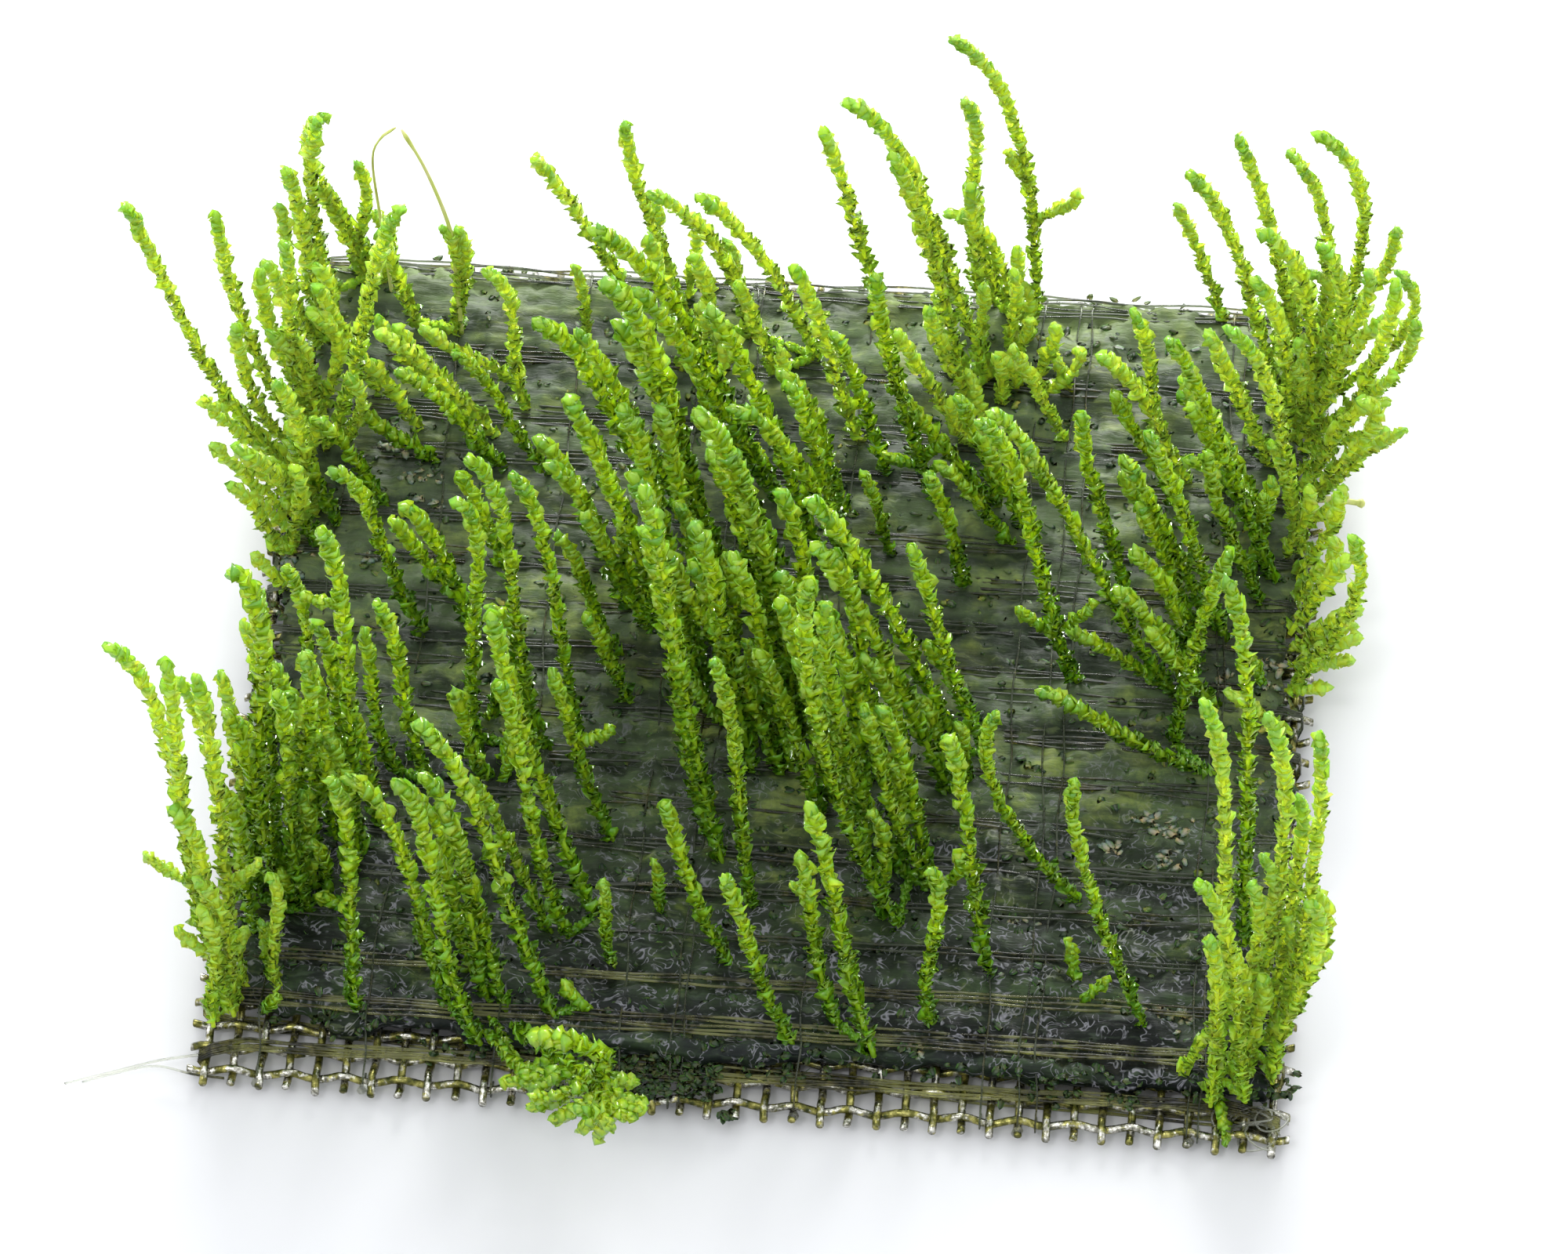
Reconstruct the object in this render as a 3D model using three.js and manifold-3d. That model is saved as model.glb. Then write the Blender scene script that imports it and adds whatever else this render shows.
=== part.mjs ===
// Flame moss tied onto a square pad of woven steel wire mesh with nylon thread.
// Millimetres, +Z up, +X to the right of the pad's front edge, +Y to its back.
// The origin is the middle of the pad, on the surface that the thread's underside rests on.
import * as THREE from "three";
import { mergeVertices } from "three/addons/utils/BufferGeometryUtils.js";
import Module from "manifold-3d";

const wasm = await Module();
wasm.setup();

// The woven wire pad
const WIRE_PITCH = 1.27;
const WIRES_A_SIDE = 39;
const WIRE = 0.4;
const WIRE_END = 0.65;
const SIDE_ENDS_SHOWN = 10; // behind these, moss and thread cover the wire ends on the left and right
const MOSSY_CELLS = [13, 18]; // moss closes the cells of the front row between these two, others are open
const MESH_THICKNESS = 0.8;

// The thread: nylon filaments laid side by side in bundles that drop into the gaps between wire ends
const FILAMENT = 0.12;
const FILAMENT_PITCH = 0.125;
const THREAD_HEIGHT = 0.2;
const TAIL_SIDES = 6;
const TAIL_RADIUS = 0.09;
const TAIL_STEPS = 6;

// The pressed moss mat
const MAT_THICKNESS = 1.1;

// The mat's uneven edge, anticlockwise from the back right, with bare mesh near the front left corner
const MAT_OUTLINE = [
  [23.8, 23.9],
  [15, 24.1],
  [7, 23.7],
  [-2, 24.1],
  [-12, 23.6],
  [-20, 24],
  [-23.9, 23.6],
  [-23.6, 14],
  [-24, 6],
  [-23.4, -2],
  [-23.9, -9],
  [-23.5, -16],
  [-24, -22.3],
  [-22.5, -22.2],
  [-22.1, -21.6],
  [-20.4, -21.4],
  [-19.2, -22.1],
  [-16.4, -22],
  [-14.6, -22.5],
  [-8, -22.2],
  [0, -22.4],
  [9, -22.1],
  [17, -22.5],
  [24, -22.2],
  [23.5, -15],
  [24, -7],
  [23.4, 1],
  [23.9, 10],
  [23.5, 17],
];

// Pieces that touch in the real pad keep this gap
const GAP = 0.05;

// Corners closer than this are one corner
const SAME_CORNER = 1e-4;

// The moss shoots
const SHOOT_WIDTH = 1.25;
const SHOOT_SIDES = 5;
const THIN_SHOOT = 1.2; // a shoot this wide or less has four sides
const THIN_SIDES = 4;
const TWIG_WIDTH = 0.9;
const CREEPER_WIDTH = 0.7;
const CREEPER_SIDES = 3;

// The line of a shoot: its last stretch leans by the nod, and the bow pushes its middle sideways
const USUAL_NOD = 25;
const NOD_LENGTH = 3.2;
const NOD_SHARE = 0.35; // the leaning stretch is at most this share of the way to the tip
const LOWER_BEND = 0.35; // where the lower bend is, as a share of the way to the tip
const LOWER_BOW = 1.33; // how far the lower bend is pushed for each millimetre of bow

// A shoot is drawn with fewer rings when it is short, or when it nods and bows less than this
const SHORT_SHOOT = 10.5;
const STRAIGHT_NOD = 50;
const STRAIGHT_BOW = 0.7;

// A shoot's outline from root to tip, as shares of its width and of its length
const SHORT_RINGS = [
  [0, 0],
  [0.38, 0],
  [0.5, 0.86],
  [0, 1],
];
const STRAIGHT_RINGS = [
  [0, 0],
  [0.38, 0],
  [0.5, 0.55],
  [0.44, 0.92],
  [0, 1],
];
const BENT_RINGS = [
  [0, 0],
  [0.38, 0],
  [0.46, 0.36],
  [0.5, 0.7],
  [0.44, 0.93],
  [0, 1],
];

// Heights of the layers, from the surface up
const MESH_BOTTOM = THREAD_HEIGHT + GAP;
const MESH_TOP = MESH_BOTTOM + MESH_THICKNESS;
const MAT_BOTTOM = MESH_TOP + GAP;
const MAT_TOP = MAT_BOTTOM + MAT_THICKNESS;
const SHOOT_BASE = MAT_TOP + GAP;

// The outer faces of the outermost wires, and the tips of the cut wire ends
const LAST_WIRE = ((WIRES_A_SIDE - 1) / 2) * WIRE_PITCH;
const MESH_EDGE = LAST_WIRE + WIRE / 2;
const WIRE_TIP = MESH_EDGE + WIRE_END;

// Bundles of thread, front to back: which gap between cross wires each one drops into at the sides,
// counted from the front edge, how many filaments lie side by side, and how far back of that gap the
// bundle lies in between
const BUNDLES = [
  [1, 6, 0.55],
  [3, 5],
  [5, 3],
  [7, 2],
  [9, 3],
  [11, 4],
  [13, 3],
  [15, 4],
  [17, 5],
  [19, 3],
  [20, 3],
  [22, 4],
  [24, 5],
  [26, 4],
  [29, 5],
  [31, 6],
  [34, 5],
  [38, 6],
];

// The free end of the thread: a few points past the front left corner
const TAIL_POINTS = [
  [-24.48, -23.4, 0.75],
  [-26.2, -24.0, 0.95],
  [-28.2, -24.6, 0.7],
  [-30.4, -25.2, 0.35],
];

// The shoots, by tuft. Each has its root on the mat [x, y], the way from root to tip [x, y, up], and
// what sets its shape: bow pushes its middle sideways, nod is how far its tip leans over to the left
// in degrees from upright, and twigs are short side branches [height share, x, y, up].
const TUFTS = {
  tuft_front_left_corner: [
    [[-23.6, -20.4], [-4.9, 4, 18.9], { nod: 75 }],
    [[-23.2, -21.2], [-2.4, 3.6, 19.8], { bow: -1.4, nod: 40, twigs: [[0.35, -2.2, 0.5, 1.4]] }],
    [[-22.9, -19.9], [-1.8, 4, 16.9], { bow: -0.3, twigs: [[0.3, 1.4, 0.5, 1.6]] }],
    [[-23.9, -22.4], [-0.6, 1.4, 6.5], { nod: 40, twigs: [[0.5, -1.8, 0.4, 1.8]] }],
  ],
  tuft_left_front: [
    [[-22.8, -15], [-0.9, 3.4, 18.8], { bow: -0.1, nod: 80, width: 1.5 }],
    [[-21.6, -16], [-2.2, 2, 12]],
    [[-21.3, -13.6], [0.8, 1, 14.6], { bow: -0.5, nod: 40, twigs: [[0.6, 1.1, 0, 1.2]] }],
    [[-20.4, -15.8], [-1.1, 2, 13.3], { bow: -0.5 }],
    [[-22.2, -12.2], [-0.8, 3, 15.4], { nod: 15 }],
    [[-19.6, -14.6], [-0.2, 0, 2], { bow: -0.9 }],
  ],
  shoot_left_tall: [
    [[-18.4, -12.6], [-1.4, 3.4, 19.3], { bow: 0.1, width: 1.45, twigs: [[0.75, -1.8, 0, 0.8]] }],
  ],
  shoot_left_front: [[[-17.5, -21.2], [-1.3, 4, 11.7]]],
  tuft_left_middle: [
    [[-15.6, -8], [-2.3, 1, 11.7], { bow: -0.5, nod: 40 }],
    [[-17.2, -7.5], [-1.4, 1.4, 8.6], { bow: -0.7 }],
  ],
  shoot_left_curled: [[[-16.8, 1], [-4.3, 0, 10.8], { bow: -0.5, nod: 110 }]],
  tuft_front_left: [
    [[-13.4, -20.6], [-5, 4, 10.9], { bow: 0.1, nod: 75 }],
    [[-11.9, -22.5], [-4, 4.4, 12.8], { bow: -0.7, nod: 75, width: 1.7 }],
  ],
  tuft_front_left_leaning: [
    [[-8.6, -20.9], [-6.5, 5, 14.3], { nod: 60, width: 1.5 }],
    [[-7.2, -20.3], [-0.8, 0.4, 1.3], { bow: -0.4 }],
  ],
  tuft_left_of_centre: [
    [[-8.4, -16.4], [-3.1, 3.2, 14.1], { bow: -0.5 }],
    [[-7.2, -15.2], [-5, 5.4, 14.9], { bow: -0.5, nod: 15, width: 1.5 }],
  ],
  tuft_crossed: [
    [[-13.6, -5.4], [-1.1, 2, 14.6], { bow: -0.5, nod: 95, width: 1.1 }],
    [[-13.2, -7.6], [-1.2, 0, 6.4], { bow: -0.2 }],
    [[-10.6, -5.6], [-3.6, 3.4, 16.3], { bow: -0.4, nod: 85, width: 1.2 }],
  ],
  shoot_middle_left: [[[-8.9, -5], [-3.2, 3, 15.3], { nod: 40, width: 1.15 }]],
  shoot_middle_left_back: [[[-7.6, 0.4], [-2.9, 0, 8.4], { bow: -0.5, nod: 45, width: 1.15 }]],
  shoot_middle_left_front: [
    [[-6.9, -10.6], [-2.9, 2, 9.7], { bow: -0.4, width: 1.15, twigs: [[0.55, 1.6, 0, 1.4]] }],
  ],
  shoot_front_middle_left: [[[-0.9, -17.3], [-3.1, 2, 9], { bow: -0.6 }]],
  shoot_front_middle: [[[2.2, -21.5], [-3.2, 2, 9.5], { bow: -0.4 }]],
  shoot_front_middle_back: [[[-0.2, -14], [-2, 3, 14], { width: 1.1 }]],
  tuft_front_middle: [
    [[5.9, -21.7], [-3.3, 4, 12.8], { bow: -0.3, width: 1.5 }],
    [[4.3, -20.4], [-2, 2.4, 9.5], { bow: -0.6, twigs: [[0.75, -0.9, 0, 0.9]] }],
  ],
  shoot_front_right_of_middle: [[[8.5, -20], [-0.4, 1, 10.2], { bow: -0.7, nod: 45, width: 1.05 }]],
  tuft_centre_front: [
    [[-1.8, -11.4], [-4, 6, 19.2], { bow: -0.3 }],
    [[-2.6, -9.8], [-3.2, 4.4, 16.3], { bow: -0.3 }],
  ],
  tuft_centre: [
    [[-3.6, -0.6], [-3.8, 2, 16.5]],
    [[-2.2, 0.8], [-3.6, 2.4, 14.6], { bow: -0.7 }],
    [[-5, 0.6], [-5, 2, 15.7], { bow: 0.2, nod: 20, width: 1.35 }],
    [[-3.9, 1.4], [-5.2, 2.6, 11], { bow: -0.5 }],
  ],
  tuft_centre_left: [
    [[-6.4, 9.8], [-6, 0, 12.4], { nod: 65, width: 1.4 }],
    [[-5, 9], [-5.3, -0.4, 13.3], { bow: -0.4, nod: 45 }],
  ],
  tuft_centre_tall: [
    [[-2.9, 4.6], [-5.8, 0, 21.2], { bow: -0.1, nod: 85, width: 1.6 }],
    [[-2.3, 3.8], [-5.7, 1, 18.5], { bow: -0.1, nod: 40 }],
  ],
  tuft_centre_back: [
    [[-1.6, 11.4], [-8.1, -2, 19.4], { bow: 0.7, nod: 70 }],
    [[-0.8, 10.2], [-6.7, -2, 16.9], { bow: -0.1, nod: 45 }],
    [[-2.4, 12.6], [-1.6, 0, 6.7], { bow: -0.8 }],
  ],
  shoot_centre_back_right: [[[1.2, 7.4], [-5.2, 0, 16.8], { bow: 0.2, nod: 30 }]],
  shoot_centre_right_arched: [[[4.2, 4.6], [-7.1, 0, 13], { bow: 0.1, nod: 85, width: 1.1 }]],
  tuft_centre_right: [
    [[0.8, -1.8], [-4.7, 2, 18], { bow: 0.8, width: 1.6 }],
    [[0.2, -3.2], [-5.3, 2, 9.6], { bow: -0.6 }],
    [[1.6, -3.6], [-3.4, 3, 13]],
  ],
  tuft_middle_right: [
    [[8.8, -4.4], [-7.4, 1, 16.5], { bow: 0.4, nod: 40, width: 1.35 }],
    [[8.4, -6.6], [-6.7, 2, 14.9], { bow: 0.1, nod: 40, width: 1.5 }],
    [[10, -4.2], [-3.8, 0, 14.6], { bow: -0.7, nod: 35, width: 1.1 }],
  ],
  tuft_front_centre_right: [
    [[6.6, -14.6], [-4.3, 4, 19.5], { bow: -1.6, nod: 10, width: 1.3 }],
    [[6.9, -11.8], [-4.1, 3, 15.9], { bow: -1.6 }],
    [[8, -12.4], [-3.4, 2.4, 10], { bow: -0.7 }],
  ],
  shoot_right_of_centre: [[[10.9, -16.8], [-2.4, 3, 13.2], { bow: -0.2, width: 1.35 }]],
  shoot_right_bowed: [[[14.6, -12.4], [-3.8, 1, 12.1], { bow: -1.6, nod: 0, width: 1.05 }]],
  shoot_right_front: [[[18, -19.3], [-3.5, 3, 13.8], { bow: -0.4, nod: -8, width: 0.95 }]],
  tuft_right_crossed: [
    [[20.2, -4.6], [-8.2, 0, 5.2], { bow: -1.2, nod: 85, width: 1.15 }],
    [[18.6, -3], [2.1, 0, 14.3], { bow: -0.2, nod: -15, width: 1.15 }],
  ],
  shoot_right_tall: [[[22.4, -14.4], [-2.1, 5, 19.9], { bow: 0.2, nod: 35, width: 1.35 }]],
  tuft_front_right_corner: [
    [[21.6, -22], [-1.9, 6, 19.6], { bow: 0.3, nod: 30, width: 1.25 }],
    [[22.8, -20.2], [-0.3, 4, 19.1], { bow: 0.9, nod: 20, width: 1.35 }],
    [[23.9, -21.2], [1, 4.6, 18.7], { bow: 0.7, nod: 0, width: 1.1, twigs: [[0.3, 1.2, 0, 1.4]] }],
    [[22.8, -23], [-2.8, 1.6, 13.5], { bow: 0.2, nod: 40, width: 1.35 }],
    [[21.3, -23.3], [-0.6, 1, 11], { bow: 0.2, nod: 10 }],
    [[24, -19.6], [0.2, 3, 14.2], { bow: -0.3, width: 1.3 }],
  ],
  shoot_right_forked: [
    [[13.8, 0.4], [-5, -1.2, 19.5], { bow: -0.4, nod: 75, twigs: [[0.2, -2, 0, 2], [0.22, 1.5, 0, 2.6]] }],
  ],
  shoot_right_leaning: [
    [[18.4, 0], [-9.3, 2, 16.9], { bow: -0.5, nod: 80, twigs: [[0.7, -1.6, 0, 2.6]] }],
  ],
  shoot_right_upright: [[[16, 5.6], [-2.5, 0, 13.1], { bow: -0.1, nod: 0, width: 1.15 }]],
  tuft_right_middle: [
    [[19.8, 4.6], [-4.5, 0, 11.4], { nod: 30, width: 1.15 }],
    [[20.6, 3.6], [-4.2, 0.2, 14.1], { bow: 0.1, nod: 25, width: 1.15 }],
  ],
  tuft_right_back: [
    [[22, 9.8], [-3.9, -3, 8.7], { bow: 0.4, nod: 85 }],
    [[22.8, 7.2], [-5.7, -1, 17.9], { bow: -0.1, nod: 40, width: 1.15 }],
    [[22.2, 8.4], [0.1, 0, 6.1], { bow: -0.5 }],
  ],
  shoot_right_edge_tall: [[[24, 9.7], [-4.4, -1.8, 16.9], { bow: 0.3, nod: 55, width: 1.15 }]],
  shoot_right_back_short: [[[16.7, 16.5], [-1.4, 0, 8]]],
  tuft_back_right_corner: [
    [[23.2, 16], [-2.5, -2, 13.7], { bow: 0.5, nod: 30, width: 1.45 }],
    [[24, 18], [-3.2, -2, 14.7], { bow: 0.8, nod: 55, width: 1.4 }],
    [[23.4, 19.9], [-3.7, -2, 19], { bow: 0.4, nod: 20, width: 1 }],
    [[22.4, 18.6], [-4.9, 0, 15.5], { bow: 0.3, nod: 45, width: 1.15 }],
    [[24, 21.6], [-1.9, 0, 14.1], { bow: 1.2, nod: 25, width: 1 }],
    [[24.2, 20.4], [-1, -1, 17.8], { bow: 1.6, nod: 55, width: 1.1 }],
    [[24.1, 22.8], [3.5, -0.4, 8.4], { bow: 1.1, nod: -20, width: 1 }],
    [[24, 17], [-0.2, 0.4, 12.5], { bow: 1.1 }],
  ],
  shoot_right_edge_curled: [[[24, 0.8], [2, 0, 11.3], { bow: 1, nod: 10, width: 1.1 }]],
  tuft_back_middle: [
    [[8.6, 18.8], [-7, -4, 23], { bow: 0.2, nod: 85, width: 1.35 }],
    [[7.6, 17.6], [-3.7, -3, 20.2], { bow: 0.2, nod: 20, width: 1.2 }],
    [[8.4, 16.4], [-2.8, -1, 8.7], { bow: -0.5 }],
    [[6.8, 19.8], [-1.1, 0, 7], { bow: -0.4 }],
    [[9.8, 19.6], [-0.3, 0, 7], { bow: -0.4 }],
    [[11, 18.4], [0.6, 0, 4.6], { bow: -0.2 }],
  ],
  tuft_back_edge_middle: [
    [
      [10.6, 22.8],
      [-4.6, 0.4, 18.7],
      { bow: 1.1, nod: 60, width: 1, twigs: [[0.35, 2, 0, 2.4], [0.45, -1.2, 0, 3]] },
    ],
    [[8.4, 23.6], [-1.8, 0, 14.1], { bow: -1.2, nod: 80, width: 1.1 }],
    [[9.8, 22.2], [-3.9, 0.6, 7], { bow: 0.3, nod: 85 }],
  ],
  shoot_back_edge: [[[2.8, 23.6], [-2.8, 0, 11.8], { nod: 20 }]],
  shoot_middle_back_upright: [
    [[6.5, 10.8], [-2.8, -2, 18.3], { bow: -0.3, nod: 5, twigs: [[0.15, -2, 0, 1], [0.18, 1, 0, 2]] }],
  ],
  shoot_middle_back_short: [[[4.7, 7.3], [-1.5, 0, 5.9], { width: 0.95 }]],
  tuft_back_left_middle: [
    [[-6.5, 21.8], [-2.6, 0, 13.2], { nod: 0, width: 1.15 }],
    [[-3, 20.4], [-5.1, 0, 9.8], { bow: 0.9, nod: 60 }],
    [[0.2, 19.4], [-5.8, 0, 11], { bow: 0.5, nod: 50 }],
    [[-5.8, 19.2], [-2.1, 0, 8.1], { bow: -0.4 }],
    [[-4, 18.4], [-1.7, 0, 8.1], { bow: -0.2 }],
    [[-1.6, 18.2], [-1.9, 0, 6.3], { bow: -0.2 }],
  ],
  shoot_back_left: [[[-9.6, 23.4], [-4.3, 1, 7.5], { nod: 35 }]],
  tuft_left_back: [
    [[-23.6, 9.4], [-7.5, 0, 19.3], { bow: -1.8, nod: 70, width: 1.1, twigs: [[0.3, -1.7, 0, 0.4]] }],
    [[-23.8, 12.2], [-3.4, 0, 16], { bow: -0.9, nod: 15, width: 1.1 }],
    [[-23, 12.8], [-1.2, -1, 14.7], { bow: -1.4, nod: 50, width: 1.1 }],
    [[-22.6, 11.8], [4.7, -2, 19.9], { bow: 0.3, nod: -40, width: 1.2 }],
    [[-23.4, 10.6], [-3, 0, 10], { bow: -1.3 }],
    [[-23, 13.8], [-2.6, 0, 10.3], { bow: -1.2 }],
    [[-22.4, 8], [-3.5, -4, 8.8], { bow: -0.4, nod: 60 }],
  ],
  tuft_back_left_corner: [
    [[-23.2, 19.2], [-1.9, 0, 11.4], { bow: -0.5, nod: 30 }],
    [[-23.7, 18], [-1.5, 0, 10.2], { bow: -0.9, width: 1 }],
    [[-23.4, 21.6], [-0.2, 0, 12.6], { bow: -0.8, nod: 0 }],
    [[-21.4, 22.2], [-1.4, 0, 11.8], { bow: -0.7, nod: 60, width: 1.3 }],
  ],
  tuft_back_left: [
    [[-17.4, 19.6], [-2, 0, 7.6], { bow: 0.2, width: 1 }],
    [[-19.2, 20], [-1.7, 0, 6.5], { bow: -0.2 }],
  ],
  shoot_back_left_leaning: [[[-16, 14.3], [-4.3, 0, 6.8], { bow: -0.5, width: 1.1 }]],
  shoot_left_back_slanting: [[[-12, 11.1], [-4.4, 0, 8.2], { bow: -0.4, nod: 60, width: 0.95 }]],
  shoot_back_left_upright: [[[-13.4, 15], [-2, 0, 9.6], { bow: -0.4, nod: 75, width: 1.15 }]],
  shoot_over_front_edge: [
    [[-10.2, -21.9], [3.4, -9.2, 7], { bow: 1.2, nod: 70, width: 1.9 }],
  ],
};

// A closed three.js geometry as a solid that can be joined and cut.
function solidOf(geometry) {
  const bare = geometry.clone();
  bare.deleteAttribute("normal");
  bare.deleteAttribute("uv");
  const merged = mergeVertices(bare, SAME_CORNER);
  return new wasm.Manifold(
    new wasm.Mesh({
      numProp: 3,
      vertProperties: merged.attributes.position.array,
      triVerts: new Uint32Array(merged.index.array),
    }),
  );
}

function geometryOf(solid) {
  const mesh = solid.getMesh();
  return new THREE.BufferGeometry()
    .setAttribute("position", new THREE.BufferAttribute(mesh.vertProperties, 3))
    .setIndex(new THREE.BufferAttribute(mesh.triVerts, 1));
}

// A flat outline in X and Y, given a height along Z.
function plate(points, bottom, height) {
  const shape = new THREE.Shape(points.map(([x, y]) => new THREE.Vector2(x, y)));
  const geometry = new THREE.ExtrudeGeometry(shape, { depth: height, bevelEnabled: false });
  return geometry.translate(0, 0, bottom);
}

function wirePosition(index) {
  return index * WIRE_PITCH - LAST_WIRE;
}

// The outline of a run of cut wire ends along one side, as [place along the side, distance out].
function wireEnds(first, count) {
  const points = [];
  for (let i = first; i < first + count; i++) {
    const [from, to] = [wirePosition(i) - WIRE / 2, wirePosition(i) + WIRE / 2];
    points.push([from, MESH_EDGE], [from, WIRE_TIP], [to, WIRE_TIP], [to, MESH_EDGE]);
  }
  return points;
}

// The pad: one slab as thick as two crossing wires, with a tooth for each cut wire end and with the
// open cells of the front row.
function wireMesh() {
  const whole = wireEnds(0, WIRES_A_SIDE);
  const nearFront = wireEnds(0, SIDE_ENDS_SHOWN);
  const outline = [
    ...whole.map(([along, out]) => [along, -out]),
    ...nearFront.map(([along, out]) => [out, along]),
    ...whole.map(([along, out]) => [-along, out]),
    ...nearFront.map(([along, out]) => [-out, along]).reverse(),
  ];
  let mesh = solidOf(plate(outline, MESH_BOTTOM, MESH_THICKNESS));
  const opening = WIRE_PITCH - WIRE;
  const [firstMossy, lastMossy] = MOSSY_CELLS;
  for (let cell = 1; cell < WIRES_A_SIDE; cell++) {
    if (cell >= firstMossy && cell <= lastMossy) continue;
    const hole = new THREE.BoxGeometry(opening, opening, 2 * MESH_THICKNESS);
    hole.translate(wirePosition(cell - 0.5), wirePosition(0.5), (MESH_BOTTOM + MESH_TOP) / 2);
    mesh = mesh.subtract(solidOf(hole));
  }
  return geometryOf(mesh);
}

function bundleWidth(filaments) {
  return (filaments - 1) * FILAMENT_PITCH + FILAMENT;
}

function gapPosition(gap) {
  return wirePosition(gap - 0.5);
}

// The front bundle lies on the bare mesh and the others lie in the mat, with their tops level with it.
function bundleBottom(gap) {
  return gap === 1 ? MESH_TOP + GAP : MAT_TOP - THREAD_HEIGHT;
}

// The mat: a pressed layer with an uneven edge and a groove under each bundle of thread.
function mossMat() {
  let mat = solidOf(plate(MAT_OUTLINE, MAT_BOTTOM, MAT_THICKNESS));
  for (const [gap, filaments, back = 0] of BUNDLES) {
    const groove = new THREE.BoxGeometry(2 * WIRE_TIP, bundleWidth(filaments) + 2 * GAP, MAT_THICKNESS);
    groove.translate(0, gapPosition(gap) + back, bundleBottom(gap) - GAP + MAT_THICKNESS / 2);
    mat = mat.subtract(solidOf(groove));
  }
  return geometryOf(mat);
}

// The thread: each bundle runs over the mat and down both sides between the wire ends, and slants
// back underneath to the start of the next bundle.
function nylonThread() {
  const inner = MESH_EDGE + GAP;
  const outer = inner + THREAD_HEIGHT;
  let thread = solidOf(threadTail());
  BUNDLES.forEach(([gap, filaments, back = 0], index) => {
    const width = bundleWidth(filaments);
    const middle = gapPosition(gap);
    const top = bundleBottom(gap) + THREAD_HEIGHT;
    const run = new THREE.BoxGeometry(2 * outer, width, THREAD_HEIGHT);
    run.translate(0, middle + back, top - THREAD_HEIGHT / 2);
    thread = thread.add(solidOf(run));
    for (const side of [-1, 1]) {
      const leg = new THREE.BoxGeometry(THREAD_HEIGHT, width, top);
      leg.translate((side * (inner + outer)) / 2, middle, top / 2);
      thread = thread.add(solidOf(leg));
    }
    if (index === BUNDLES.length - 1) return;
    const [nextGap, nextFilaments] = BUNDLES[index + 1];
    const nextMiddle = gapPosition(nextGap);
    const half = Math.min(width, bundleWidth(nextFilaments)) / 2;
    const slant = [
      [-outer, nextMiddle - half],
      [outer, middle - half],
      [outer, middle + half],
      [-outer, nextMiddle + half],
    ];
    thread = thread.add(solidOf(plate(slant, 0, THREAD_HEIGHT)));
  });
  return geometryOf(thread);
}

function threadTail() {
  const path = new THREE.CatmullRomCurve3(TAIL_POINTS.map((point) => new THREE.Vector3(...point)));
  const section = new THREE.Shape();
  for (let i = 0; i < TAIL_SIDES; i++) {
    const angle = (i / TAIL_SIDES) * 2 * Math.PI;
    const place = [TAIL_RADIUS * Math.cos(angle), TAIL_RADIUS * Math.sin(angle)];
    if (i === 0) section.moveTo(...place);
    else section.lineTo(...place);
  }
  return new THREE.ExtrudeGeometry(section, { steps: TAIL_STEPS, extrudePath: path });
}

// The line that a shoot follows from its root to its tip.
function shootLine(root, way, bow, nod) {
  const tip = root.clone().add(way);
  const lean = THREE.MathUtils.degToRad(nod);
  const nodding = Math.min(NOD_LENGTH, NOD_SHARE * way.length());
  const beforeTip = tip.clone();
  beforeTip.x += nodding * Math.sin(lean) + bow;
  beforeTip.z -= nodding * Math.cos(lean);
  const afterRoot = root.clone().addScaledVector(way, LOWER_BEND);
  afterRoot.x += LOWER_BOW * bow;
  return new THREE.CubicBezierCurve3(root, afterRoot, beforeTip, tip);
}

// A bud-tipped shoot: a turned profile along Y, bent along the line.
function shootGeometry(line, width, sides, rings) {
  const profile = rings.map(([radius, share]) => new THREE.Vector2(radius * width, share));
  const geometry = new THREE.LatheGeometry(profile, sides);
  const place = geometry.attributes.position;
  const across = new THREE.Vector3(0, 1, 0);
  for (let i = 0; i < place.count; i++) {
    const share = place.getY(i);
    const along = line.getTangentAt(share);
    const right = across.clone().cross(along).normalize();
    const back = right.clone().cross(along);
    const point = line
      .getPointAt(share)
      .addScaledVector(right, place.getX(i))
      .addScaledVector(back, place.getZ(i));
    // The root is cut level, so that it stands flat on the mat.
    if (share === 0) point.z = line.v0.z;
    place.setXYZ(i, point.x, point.y, point.z);
  }
  return geometry;
}

function shootSolid([[x, y], way, { bow = 0, nod = USUAL_NOD, width = SHOOT_WIDTH, twigs = [] } = {}]) {
  const line = shootLine(new THREE.Vector3(x, y, SHOOT_BASE), new THREE.Vector3(...way), bow, nod);
  const bent = Math.abs(nod) > STRAIGHT_NOD || Math.abs(bow) > STRAIGHT_BOW;
  let rings = bent ? BENT_RINGS : STRAIGHT_RINGS;
  if (line.getLength() < SHORT_SHOOT) rings = SHORT_RINGS;
  const sides = width > THIN_SHOOT ? SHOOT_SIDES : THIN_SIDES;
  let solid = solidOf(shootGeometry(line, width, sides, rings));
  for (const [share, ...twigWay] of twigs) {
    const twig = shootLine(line.getPointAt(share), new THREE.Vector3(...twigWay), 0, USUAL_NOD);
    solid = solid.add(solidOf(shootGeometry(twig, TWIG_WIDTH, THIN_SIDES, SHORT_RINGS)));
  }
  return solid;
}

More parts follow.
